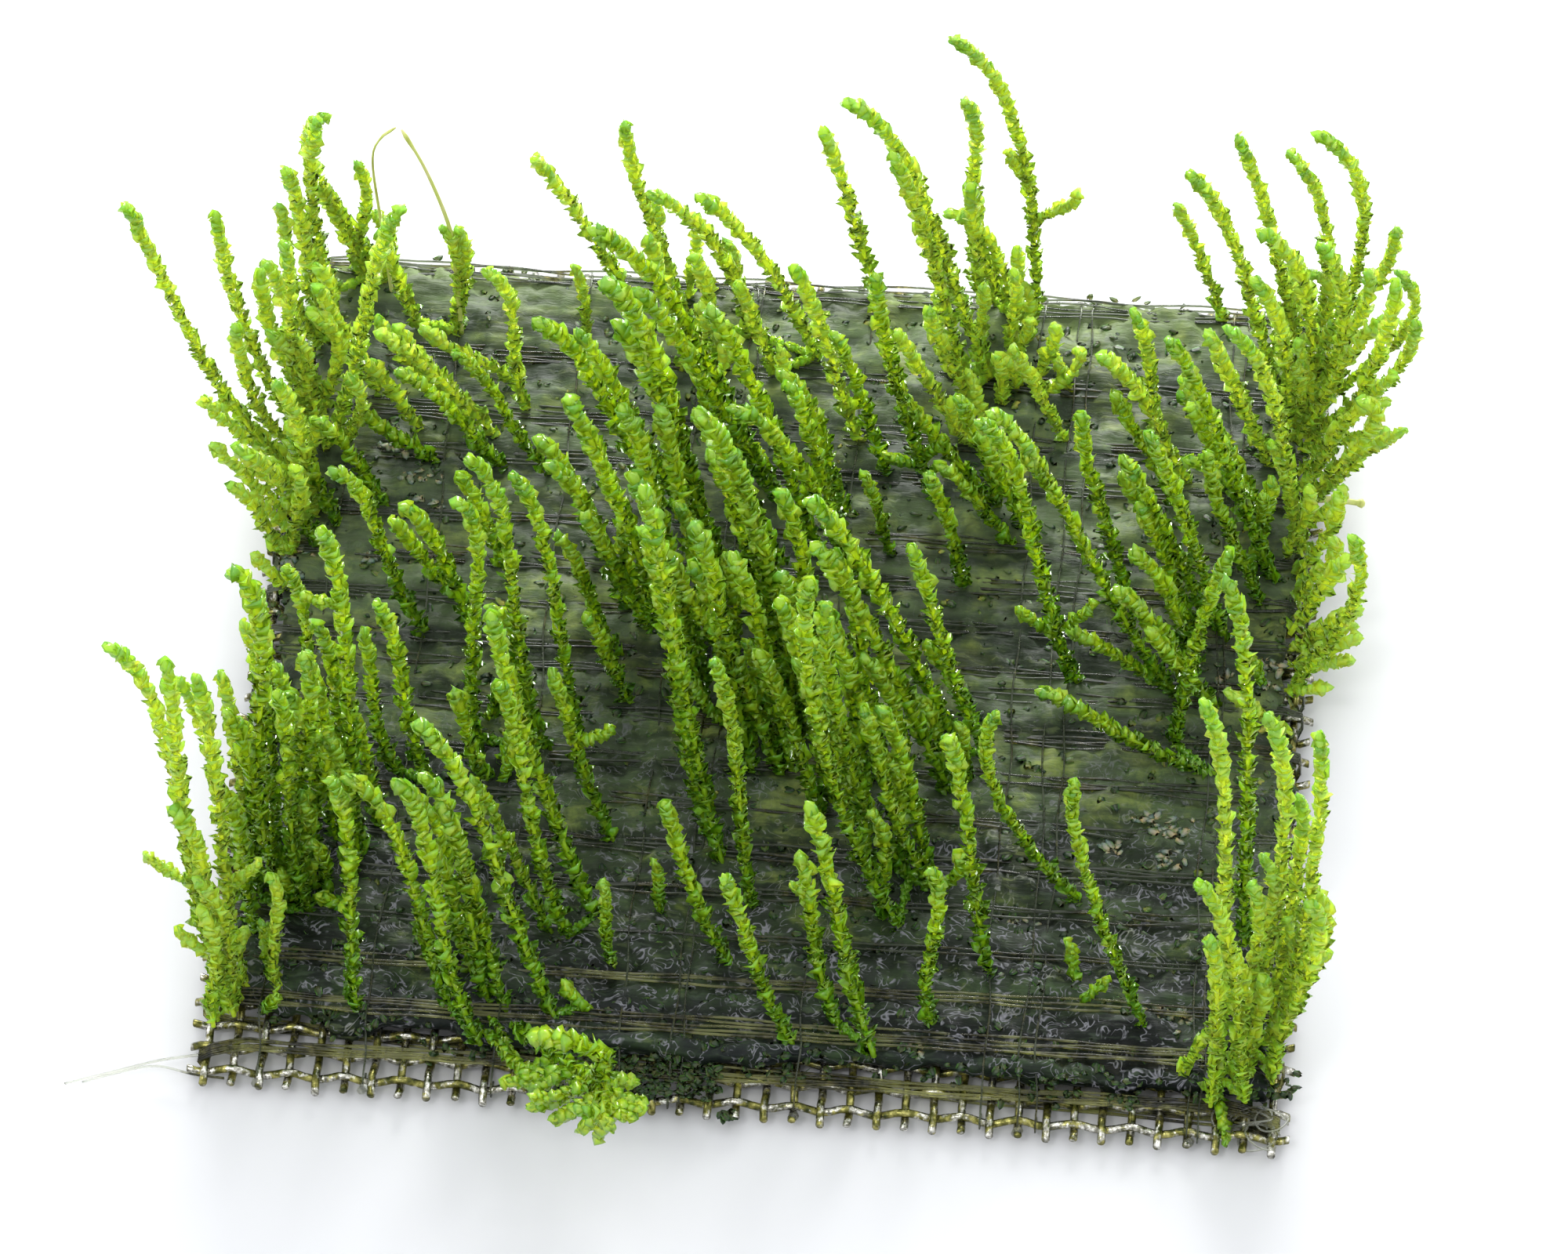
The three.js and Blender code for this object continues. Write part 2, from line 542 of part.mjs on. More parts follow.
// A short stem lying on the mat, from one root to the next.
function creeper([fromX, fromY], [toX, toY]) {
  const from = new THREE.Vector3(fromX, fromY, 0);
  const to = new THREE.Vector3(toX, toY, 0);
  const radius = CREEPER_WIDTH / 2;
  const geometry = new THREE.CylinderGeometry(radius, radius, from.distanceTo(to), CREEPER_SIDES);
  // One edge points up and one flat side lies on the mat.
  geometry.rotateX(Math.PI / 2).rotateZ(Math.PI).translate(0, radius / 2, 0);
  const heading = Math.atan2(to.y - from.y, to.x - from.x);
  geometry.rotateX(Math.PI / 2).rotateZ(heading + Math.PI / 2);
  const middle = from.add(to).multiplyScalar(0.5);
  return geometry.translate(middle.x, middle.y, SHOOT_BASE);
}

// A tuft: its shoots, joined by the creeping stem that they branch from. Each root is reached from
// the nearest of the roots before it.
function tuft(shoots) {
  let solid = shootSolid(shoots[0]);
  for (let i = 1; i < shoots.length; i++) {
    const [root] = shoots[i];
    const distance = ([other]) => Math.hypot(root[0] - other[0], root[1] - other[1]);
    const nearer = (best, other) => (distance(other) < distance(best) ? other : best);
    const [nearest] = shoots.slice(0, i).reduce(nearer);
    solid = solid.add(shootSolid(shoots[i])).add(solidOf(creeper(nearest, root)));
  }
  return geometryOf(solid);
}

const steel = new THREE.MeshStandardMaterial({ color: 0x8f9088, roughness: 0.35, metalness: 1 });
const nylon = new THREE.MeshStandardMaterial({ color: 0x8a8d70, roughness: 0.3, metalness: 0 });
const wetMoss = new THREE.MeshStandardMaterial({ color: 0x1d2a17, roughness: 0.4, metalness: 0 });
const freshMoss = new THREE.MeshStandardMaterial({ color: 0x6f9a1e, roughness: 0.45, metalness: 0 });

const flameMossPad = new THREE.Group();

function addPiece(name, geometry, material) {
  const mesh = new THREE.Mesh(geometry, material);
  mesh.name = name;
  flameMossPad.add(mesh);
}

addPiece("wire_mesh", wireMesh(), steel);
addPiece("moss_mat", mossMat(), wetMoss);
addPiece("nylon_thread", nylonThread(), nylon);
for (const [name, shoots] of Object.entries(TUFTS)) addPiece(name, tuft(shoots), freshMoss);

export default flameMossPad;
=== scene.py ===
"""A square pad of flame moss, tied with clear nylon thread onto woven steel wire mesh.

Sizes are in millimetres until a mesh is made, and MM turns them into metres. X runs to the right of the
pad's front edge, Y to its back, and Z up from the surface that the thread's underside rests on.
"""
import math

import bmesh
import bpy
import numpy as np
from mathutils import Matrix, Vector


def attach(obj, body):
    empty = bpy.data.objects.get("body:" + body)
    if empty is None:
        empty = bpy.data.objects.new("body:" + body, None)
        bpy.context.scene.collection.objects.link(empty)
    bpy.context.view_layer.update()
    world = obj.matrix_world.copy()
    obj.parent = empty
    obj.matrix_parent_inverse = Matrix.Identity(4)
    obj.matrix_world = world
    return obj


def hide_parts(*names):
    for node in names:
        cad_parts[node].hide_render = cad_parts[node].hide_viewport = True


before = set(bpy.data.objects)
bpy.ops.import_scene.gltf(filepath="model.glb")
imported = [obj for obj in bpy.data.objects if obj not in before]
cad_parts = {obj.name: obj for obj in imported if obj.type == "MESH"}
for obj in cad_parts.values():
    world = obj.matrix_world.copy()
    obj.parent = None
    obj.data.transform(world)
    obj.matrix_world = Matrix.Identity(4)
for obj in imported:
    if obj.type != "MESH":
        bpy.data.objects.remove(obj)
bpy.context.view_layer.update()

MM = 0.001
FULL_TURN = 6.28

# The woven wire pad
WIRE_PITCH = 1.27
WIRES_A_SIDE = 39
WIRE_RADIUS = 0.19
WIRE_SIDES = 8
STEPS_A_PITCH = 4
MESH_MIDDLE = 0.65
CRIMP = 0.2
WIRE_WANDER = 0.05
CUT_BEVEL = 0.035
CUT_SHORT, CUT_LONG = -0.12, 0.03
LAST_WIRE = (WIRES_A_SIDE - 1) / 2 * WIRE_PITCH
WIRE_TIP = LAST_WIRE + 0.85

# The nylon thread. The first bundle lies on bare mesh, those after SUNK_AFTER lie deeper in the mat, and
# those after STRAIGHT_BUNDLES wander more
FILAMENT_RADIUS = 0.06
FILAMENT_PITCH = 0.125
FILAMENT_SPREAD = 1.75
FILAMENT_SIDES = 5
SIDE_RUN = 24.48
RUN_END = 23.6
FIRST_BUNDLE_TOP = 1.17
UNDERSIDE = 0.11
LEG_FOOT = 0.14
SUNK = 0.09
SUNK_AFTER = 4
STRAIGHT_BUNDLES = 3
STAINED_BUNDLES = 3

# The pressed moss mat
MAT_BOTTOM = 1.1
MAT_TOP = 2.2
MAT_SKIN = MAT_TOP - 0.12
MAT_LIMIT = 24.25
MAT_LEAVES = 3400
MAT_TRIES = 9000
EDGE_LEAVES = 650
OVERHANGING_LEAVES = 260

# The moss shoots
SHOOT_BASE = 2.25
SHOOT_WIDTH = 1.25
TWIG_WIDTH = 0.9
USUAL_NOD = 25
NOD_LENGTH = 3.2
NOD_SHARE = 0.35
LOWER_BEND = 0.35
LOWER_BOW = 1.33
SWAY = 0.08
LINE_OF_SIGHT = (0.05, -0.63, 0.78)
ROOT_DEPTH = 0.45
CREEPER_WIDTH = 0.6
DENSE_TUFT = 3
LOW_SHOOTS = 1.3

# Tufts with their roots beyond these lines stand in the light, so their leaves get a paler copy of the leaf
# material with the light painted in
LIT_BEHIND = 13.0
LIT_BESIDE = 22.6

# The leaves of the moss
LEAF_THICKNESS = 0.06
LEAF_BENCH = 10
TURN_A_LEAF = math.radians(129)
LEAF_STEP = 0.14
LEAF_LENGTH = 0.68
BUD_LENGTH = 1.3
STEM_RADIUS = 0.11

# Rows of a leaf: how far along, half its width, height of its edges and of its rib
BUD_LEAF = [
    (0, 0.24, -0.12, 0), (0.26, 0.52, -0.32, 0.1), (0.54, 0.38, -0.22, 0.09), (0.76, 0, -0.05, -0.05),
]
OPEN_LEAF = [(0, 0.2, -0.1, 0), (0.26, 0.44, -0.26, 0.1), (0.56, 0.28, -0.1, 0.12), (0.86, 0, 0.12, 0.12)]
PRESSED_LEAF = [(0, 0.1, 0, 0), (0.3, 0.27, 0.08, -0.02), (0.8, 0.2, 0.07, 0), (1.08, 0, 0.05, 0.05)]

# The mat's uneven edge, anticlockwise from the back right
MAT_OUTLINE = [
    (23.8, 23.9), (15, 24.1), (7, 23.7), (-2, 24.1), (-12, 23.6), (-20, 24), (-23.9, 23.6),
    (-23.6, 14), (-24, 6), (-23.2, -2), (-23.9, -9), (-23.5, -16), (-24, -21.1),
    (-22.5, -20.9), (-21.2, -21.1), (-19.4, -21.2), (-18.5, -22.3), (-16.9, -22.3), (-16.1, -21.5),
    (-12.9, -21.6), (-12.1, -22.4), (-8, -22.2), (0, -22.4), (5, -21.9), (9, -21.8), (13, -22.4),
    (17, -22.5), (19.2, -22.1), (24, -22.6),
    (23.5, -15), (24, -7), (23.4, 1), (23.9, 10), (23.5, 17),
]

# Patches of pale leaves on the mat, painted where light from the floor shows through openings in it: (x, y,
# half width, half depth)
PAINTED_LIGHT_PATCHES = [
    (-18.9, 12.1, 1.0, 0.34), (-17.9, 10.2, 0.75, 0.3), (-17.6, 8.6, 1.1, 0.32), (-23.5, 5.3, 0.5, 0.42),
    (-23.5, 4.1, 0.5, 0.42), (-19.9, 5.4, 0.36, 0.36), (-21.1, -1.3, 0.4, 0.5), (17.7, -7.6, 0.5, 0.26),
    (19.0, -8.3, 0.75, 0.36), (16.1, -9.4, 0.5, 0.3), (18.6, -9.8, 0.65, 0.3), (18.8, -18.5, 0.45, 0.32),
    (19.8, -18.6, 0.35, 0.3), (22.9, 2.1, 0.5, 0.42), (20.6, 1.1, 0.34, 0.3), (22.6, 0.6, 0.5, 0.34),
    (7.7, -21.3, 0.5, 0.3), (12.1, -13.6, 0.55, 0.25),
]

# Clumps of leaves beyond the mat's edge: middle, how far they spread, and how many
FRINGE_CLUMPS = [
    ((-0.4, -24.75, 0.8), (0.2, 0.12, 0.1), 12), ((24.6, -21.7, 1.6), (0.4, 0.3, 0.2), 10),
    ((-13.9, -22.6, 1.3), (0.7, 0.4, 0.15), 10), ((2.4, -22.8, 1.3), (0.8, 0.3, 0.12), 14),
    ((13.6, -22.7, 1.3), (1.0, 0.35, 0.12), 16), ((17.2, -22.8, 1.3), (0.9, 0.35, 0.12), 14),
]

# Bundles of thread, front to back: the gap between cross wires that each one drops into at the sides,
# how many filaments lie side by side, and how far back of that gap the bundle lies in between
BUNDLES = [
    (1, 6, 0.55), (3, 5, 0), (5, 3, 0), (7, 2, 0), (9, 3, 0), (11, 4, 0),
    (13, 3, 0), (15, 4, 0), (17, 5, 0), (19, 3, 0), (20, 3, 0), (22, 4, 0),
    (24, 5, 0), (26, 4, 0), (29, 5, 0), (31, 6, 0), (34, 5, 0), (38, 6, 0),
]

# The two strands of the thread's free end, past the front left corner
TAIL_POINTS = [(-24.48, -23.4, 0.75), (-26.2, -24.0, 0.95), (-28.2, -24.6, 0.7), (-30.4, -25.2, 0.35)]
SECOND_TAIL_POINTS = [
    (-23.2, -24.5, 0.6), (-24.6, -24.5, 0.75), (-26.4, -24.25, 0.85), (-28.3, -24.7, 0.62),
    (-29.6, -25.1, 0.42),
]

# Single filaments that run from front to back over the mat, by how far right they lie, and where a clear
# bead of nylon shows at the front
LENGTHWAYS = [-21.7, -16.9, -11.1, -5.4, -3.1, -2.6, 2.6, 11.0, 12.7, 13.5, 20.3, 20.8]
BEADS = [-21.7, -16.9, 2.6, 12.7, 20.4]

# Thin dry stalks that stand between the shoots at the back left, and a broken stub at the right edge:
# their points, the radius at their foot and at their tip
DRY_STALKS = [
    ([(-17, 19.6, 1.9), (-17.1, 19.6, 5.5), (-17.3, 19.6, 9.3), (-18.3, 19.6, 13.4), (-19.4, 19.6, 16.3)],
     0.14, 0.07),
    ([(-20.6, 21.8, 1.9), (-20.9, 21.8, 6.5), (-21.2, 21.8, 11.4), (-20.8, 21.8, 13.1), (-20, 21.8, 14)],
     0.1, 0.05),
    ([(23.2, 12.4, 1.7), (24.3, 12.6, 1.7), (25.4, 12.8, 1.6), (26.9, 12.9, 1.3)], 0.2, 0.14),
]

# What a row of a shoot or a twig means where it is shorter than a full one
USUAL_SHOOT = (SHOOT_WIDTH, USUAL_NOD, 0, [])
USUAL_TWIG = (TWIG_WIDTH, USUAL_NOD, 0)

# The shoots, by tuft. A row is the shoot's root on the mat (x, y), the way from there to its tip (x, y, up),
# its width, its nod, its bow and its twigs. The nod is how far the tip leans over to the left in degrees
# from upright, and the bow pushes the middle sideways. A twig is how far up it starts as a share of the
# shoot, its way (x, y, up), its width, its nod and its bow.
TUFTS = {
    "tuft_front_left_corner": [
        (-23.6, -20.4, -4.9, 4, 18.9, 1.25, 75),
        (-23.2, -21.2, -2.4, 3.6, 19.8, 1.25, 40, -1.4, [(0.35, -2.2, 0.5, 1.4)]),
        (-22.9, -19.9, -1.8, 4, 16.9, 1.25, 25, -0.3, [(0.3, 1.4, 0.5, 1.6)]),
        (-23.9, -22.4, -0.6, 1.4, 6.5, 1.25, 40, 0, [(0.5, -1.8, 0.4, 1.8)]),
    ],
    "tuft_left_front": [
        (-22.8, -15, -0.9, 3.4, 18.8, 1.5, 80, -0.1), (-21.6, -16, -2.2, 2, 12),
        (-21.3, -13.6, 0.8, 1, 14.6, 1.25, 40, -0.5, [(0.6, 1.1, 0, 1.2)]),
        (-20.4, -15.8, -1.1, 2, 13.3, 1.25, 25, -0.5), (-22.2, -12.2, -0.8, 3, 15.4, 1.25, 15),
        (-19.6, -14.6, -0.2, 0, 2, 1.25, 25, -0.9),
    ],
    "shoot_left_tall": [(-18.4, -12.6, -1.4, 3.4, 19.3, 1.45, 25, 0.1, [(0.75, -1.8, 0, 0.8)])],
    "shoot_left_front": [(-17.5, -21.2, -1.3, 4, 11.7)],
    "tuft_left_middle": [
        (-15.6, -8, -2.3, 1, 11.7, 1.25, 40, -0.5), (-17.2, -7.5, -1.4, 1.4, 8.6, 1.25, 25, -0.7),
    ],
    "shoot_left_curled": [(-16.8, 1, -4.3, 0, 10.8, 1.25, 110, -0.5)],
    "tuft_front_left": [
        (-13.4, -20.6, -5, 4, 10.9, 1.25, 75, 0.1), (-11.9, -22.5, -4, 4.4, 12.8, 1.5, 75, -0.7),
    ],
    "tuft_front_left_leaning": [
        (-8.6, -20.9, -6.5, 5, 14.3, 1.4, 60), (-7.2, -20.3, -0.8, 0.4, 1.3, 1.25, 25, -0.4),
    ],
    "tuft_left_of_centre": [
        (-8.4, -16.4, -3.1, 3.2, 14.1, 1.25, 25, -0.5), (-7.2, -15.2, -5, 5.4, 14.9, 1.5, 15, -0.5),
    ],
    "tuft_crossed": [
        (-13.6, -5.4, -1.1, 2, 14.6, 1.1, 95, -0.5), (-13.2, -7.6, -1.2, 0, 6.4, 1.25, 25, -0.2),
        (-10.6, -5.6, -3.6, 3.4, 16.3, 1.2, 85, -0.4),
    ],
    "shoot_middle_left": [(-8.9, -5, -3.2, 3, 15.3, 1.15, 40)],
    "shoot_middle_left_back": [(-7.6, 0.4, -2.9, 0, 8.4, 1.15, 45, -0.5)],
    "shoot_middle_left_front": [(-6.9, -10.6, -2.9, 2, 9.7, 1.15, 25, -0.4, [(0.55, 1.6, 0, 1.4)])],
    "shoot_front_middle_left": [(-0.9, -17.3, -3.1, 2, 9, 1.25, 25, -0.6)],
    "shoot_front_middle": [(2.2, -21.5, -3.2, 2, 9.5, 1.25, 25, -0.4)],
    "shoot_front_middle_back": [(-0.2, -14, -2, 3, 14, 1.1)],
    "tuft_front_middle": [
        (5.9, -21.7, -3.3, 4, 12.8, 1.5, 25, -0.3),
        (4.3, -20.4, -2, 2.4, 9.5, 1.25, 25, -0.6, [(0.75, -0.9, 0, 0.9)]),
    ],
    "shoot_front_right_of_middle": [(8.5, -20, -0.4, 1, 10.2, 1.05, 45, -0.7)],
    "tuft_centre_front": [
        (-1.8, -11.4, -4, 6, 19.2, 1.45, 25, -0.3), (-2.6, -9.8, -3.2, 4.4, 16.3, 1.4, 25, -0.3),
    ],
    "tuft_centre": [
        (-3.6, -0.6, -3.8, 2, 16.5, 1.5), (-2.2, 0.8, -3.6, 2.4, 14.6, 1.5, 25, -0.7),
        (-5, 0.6, -5, 2, 15.7, 1.55, 20, 0.2), (-3.9, 1.4, -5.2, 2.6, 11, 1.4, 25, -0.5),
    ],
    "tuft_centre_left": [(-6.4, 9.8, -6, 0, 12.4, 1.6, 65), (-5, 9, -5.3, -0.4, 13.3, 1.4, 45, -0.4)],
    "tuft_centre_tall": [
        (-2.9, 4.6, -5.8, 0, 21.2, 1.8, 85, -0.1), (-2.3, 3.8, -5.7, 1, 18.5, 1.5, 40, -0.1),
    ],
    "tuft_centre_back": [
        (-1.6, 11.4, -8.1, -2, 19.4, 1.5, 70, 0.7), (-0.8, 10.2, -6.7, -2, 16.9, 1.45, 45, -0.1),
        (-2.4, 12.6, -1.6, 0, 6.7, 1.3, 25, -0.8),
    ],
    "shoot_centre_back_right": [(1.2, 7.4, -5.2, 0, 16.8, 1.45, 30, 0.2)],
    "shoot_centre_right_arched": [(4.2, 4.6, -7.1, 0, 13, 1.25, 85, 0.1)],
    "tuft_centre_right": [
        (0.8, -1.8, -4.7, 2, 18, 1.8, 25, 0.8), (0.2, -3.2, -5.3, 2, 9.6, 1.4, 25, -0.6),
        (1.6, -3.6, -3.4, 3, 13, 1.5),
    ],
    "tuft_middle_right": [
        (8.8, -4.4, -7.4, 1, 16.5, 1.5, 40, 0.4), (8.4, -6.6, -6.7, 2, 14.9, 1.6, 40, 0.1),
        (10, -4.2, -3.8, 0, 14.6, 1.25, 35, -0.7),
    ],
    "tuft_front_centre_right": [
        (6.6, -14.6, -4.3, 4, 19.5, 1.3, 10, -1.6), (6.9, -11.8, -4.1, 3, 15.9, 1.25, 25, -1.6),
        (8, -12.4, -3.4, 2.4, 10, 1.25, 25, -0.7),
    ],
    "shoot_right_of_centre": [(10.9, -16.8, -2.4, 3, 13.2, 1.35, 25, -0.2)],
    "shoot_right_bowed": [(14.6, -12.4, -3.8, 1, 12.1, 1.05, 0, -1.6)],
    "shoot_right_front": [(18, -19.3, -3.5, 3, 13.8, 0.95, -8, -0.4)],
    "tuft_right_crossed": [
        (20.2, -4.6, -8.2, 0, 5.2, 1.15, 85, -1.2), (18.6, -3, 2.1, 0, 14.3, 1.15, -15, -0.2),
    ],
    "shoot_right_tall": [(22.4, -14.4, -2.1, 5, 19.9, 1.35, 35, 0.2)],
    "tuft_front_right_corner": [
        (21.6, -22, -1.9, 6, 19.6, 1.15, 30, 0.3), (22.8, -20.2, -0.3, 4, 19.1, 1.2, 20, 0.9),
        (23.9, -21.2, 1, 4.6, 18.7, 1.1, 0, 0.7, [(0.3, 1.2, 0, 1.4)]),
        (22.8, -23, -2.8, 1.6, 13.5, 1.2, 40, 0.2), (21.3, -23.3, -0.6, 1, 11, 1.25, 10, 0.2),
        (24, -19.6, 0.2, 3, 14.2, 1.15, 25, -0.3),
    ],
    "shoot_right_forked": [
        (13.8, 0.4, -5, -1.2, 19.5, 1.25, 75, -0.4, [(0.2, -2, 0, 2), (0.22, 1.5, 0, 2.6)]),
    ],
    "shoot_right_leaning": [(18.4, 0, -9.3, 2, 16.9, 1.25, 80, -0.5, [(0.7, -1.6, 0, 2.6)])],
    "shoot_right_upright": [(16, 5.6, -2.5, 0, 13.1, 1.15, 0, -0.1)],
    "tuft_right_middle": [
        (19.8, 4.6, -4.5, 0, 11.4, 1.15, 30), (20.6, 3.6, -4.2, 0.2, 14.1, 1.15, 25, 0.1),
    ],
    "tuft_right_back": [
        (22, 9.8, -3.9, -3, 8.7, 1.25, 85, 0.4), (22.8, 7.2, -5.7, -1, 17.9, 1.15, 40, -0.1),
        (22.2, 8.4, 0.1, 0, 6.1, 1.25, 25, -0.5),
    ],
    "shoot_right_edge_tall": [(24, 9.7, -4.4, -1.8, 16.9, 1.15, 55, 0.3)],
    "shoot_right_back_short": [(16.7, 16.5, -1.4, 0, 8)],
    "tuft_back_right_corner": [
        (23.2, 16, -2.5, -2, 13.7, 1.45, 30, 0.5), (24, 18, -3.2, -2, 14.7, 1.4, 55, 0.8),
        (23.4, 19.9, -3.7, -2, 19, 1, 20, 0.4), (22.4, 18.6, -4.9, 0, 15.5, 1.15, 45, 0.3),
        (24, 21.6, -1.9, 0, 14.1, 1, 25, 1.2), (24.2, 20.4, -1, -1, 17.8, 1.1, 55, 1.6),
        (24.1, 22.8, 3.5, -0.4, 8.4, 1, -20, 1.1), (24, 17, -0.2, 0.4, 12.5, 1.25, 25, 1.1),
    ],
    "shoot_right_edge_curled": [(24, 0.8, 2, 0, 11.3, 1.1, 10, 1)],
    "tuft_back_middle": [
        (8.6, 18.8, -7, -4, 23, 1.35, 85, 0.2), (7.6, 17.6, -3.7, -3, 20.2, 1.2, 20, 0.2),
        (8.4, 16.4, -2.8, -1, 8.7, 1.25, 25, -0.5), (6.8, 19.8, -1.1, 0, 7, 1.25, 25, -0.4),
        (9.8, 19.6, -0.3, 0, 7, 1.25, 25, -0.4), (11, 18.4, 0.6, 0, 4.6, 1.25, 25, -0.2),
    ],
    "tuft_back_edge_middle": [
        (10.6, 22.8, -4.6, 0.4, 18.7, 1, 60, 1.1, [(0.35, 2, 0, 2.4), (0.45, -1.2, 0, 3)]),
        (8.4, 23.6, -1.8, 0, 14.1, 1.1, 80, -1.2), (9.8, 22.2, -3.9, 0.6, 7, 1.25, 85, 0.3),
    ],
    "shoot_back_edge": [(2.8, 23.6, -2.8, 0, 11.8, 1.25, 20)],
    "shoot_middle_back_upright": [
        (6.5, 10.8, -2.8, -2, 18.3, 1.25, 5, -0.3, [(0.15, -2, 0, 1), (0.18, 1, 0, 2)]),
    ],
    "shoot_middle_back_short": [(4.7, 7.3, -1.5, 0, 5.9, 0.95)],
    "tuft_back_left_middle": [
        (-6.5, 21.8, -2.6, 0, 13.2, 1.15, 0), (-3, 20.4, -5.1, 0, 9.8, 1.25, 60, 0.9),
        (0.2, 19.4, -5.8, 0, 11, 1.25, 50, 0.5), (-5.8, 19.2, -2.1, 0, 8.1, 1.25, 25, -0.4),
        (-4, 18.4, -1.7, 0, 8.1, 1.25, 25, -0.2), (-1.6, 18.2, -1.9, 0, 6.3, 1.25, 25, -0.2),
    ],
    "shoot_back_left": [(-9.6, 23.4, -4.3, 1, 7.5, 1.25, 35)],
    "tuft_left_back": [
        (-23.6, 9.4, -7.5, 0, 19.3, 1.1, 70, -1.8, [(0.3, -1.7, 0, 0.4)]),
        (-23.8, 12.2, -3.4, 0, 16, 1.1, 15, -0.9), (-23, 12.8, -1.2, -1, 14.7, 1.1, 50, -1.4),
        (-22.6, 11.8, 4.7, -2, 19.9, 1.2, -40, 0.3), (-23.4, 10.6, -3, 0, 10, 1.25, 25, -1.3),
        (-23, 13.8, -2.6, 0, 10.3, 1.25, 25, -1.2), (-22.4, 8, -3.5, -4, 8.8, 1.25, 60, -0.4),
    ],
    "tuft_back_left_corner": [
        (-23.2, 19.2, -1.9, 0, 11.4, 1.25, 30, -0.5), (-23.7, 18, -1.5, 0, 10.2, 1, 25, -0.9),
        (-23.4, 21.6, -0.2, 0, 12.6, 1.25, 0, -0.8), (-21.3, 23.1, -1.9, 0, 11, 1.1, -60, -0.6),
    ],
    "tuft_back_left": [(-17.2, 19.6, -0.6, 0, 7.6, 1, 25, 0.2), (-19.2, 20, -1.7, 0, 6.5, 1.25, 25, -0.2)],
    "shoot_back_left_leaning": [(-16, 14.3, -4.3, 0, 6.8, 1.1, 25, -0.5)],
    "shoot_left_back_slanting": [(-12, 11.1, -4.4, 0, 8.2, 0.95, 60, -0.4)],
    "shoot_back_left_upright": [(-13.4, 15, -2, 0, 9.6, 1.15, 75, -0.4)],
    "shoot_over_front_edge": [
        (-10.2, -21.9, 3.4, -9.2, 7, 1.25, 70, 1.2, [
            (0.55, -2.7, -1.6, 5.2, 1.6, 100, 1.7), (0.4, -3.1, -0.7, -0.3, 1.1),
            (0.55, -2.9, -0.8, -0.9, 1.1), (0.65, -2.4, -0.6, -1.3, 1.1), (0.75, -1.5, -0.4, -1.7, 1.1),
            (0.85, -0.5, -0.4, -1.7, 1.1), (0.8, 1.5, 0.1, 0.1, 1.1), (0.5, 2.2, 0.6, -0.7, 1.1),
            (0.9, 0.8, -0.2, -1, 1.1), (0.3, -2.4, -1.2, -0.4, 1), (0.65, 1.9, 0.3, -0.8, 1.1),
            (0.5, -1.6, -0.3, -1.6, 1.1), (0.6, 0.6, 0.2, -1.5, 1.1), (0.7, -1.2, 0.2, -1.4, 1),
            (0.45, -2.6, -0.2, -0.8, 1), (0.6, -3, -0.4, -0.3, 1), (0.75, 0.2, -0.1, -1.3, 1),
            (0.85, 1.3, 0.2, -0.6, 1), (0.4, 0.9, 0.3, -0.6, 1),
        ]),
    ],
}

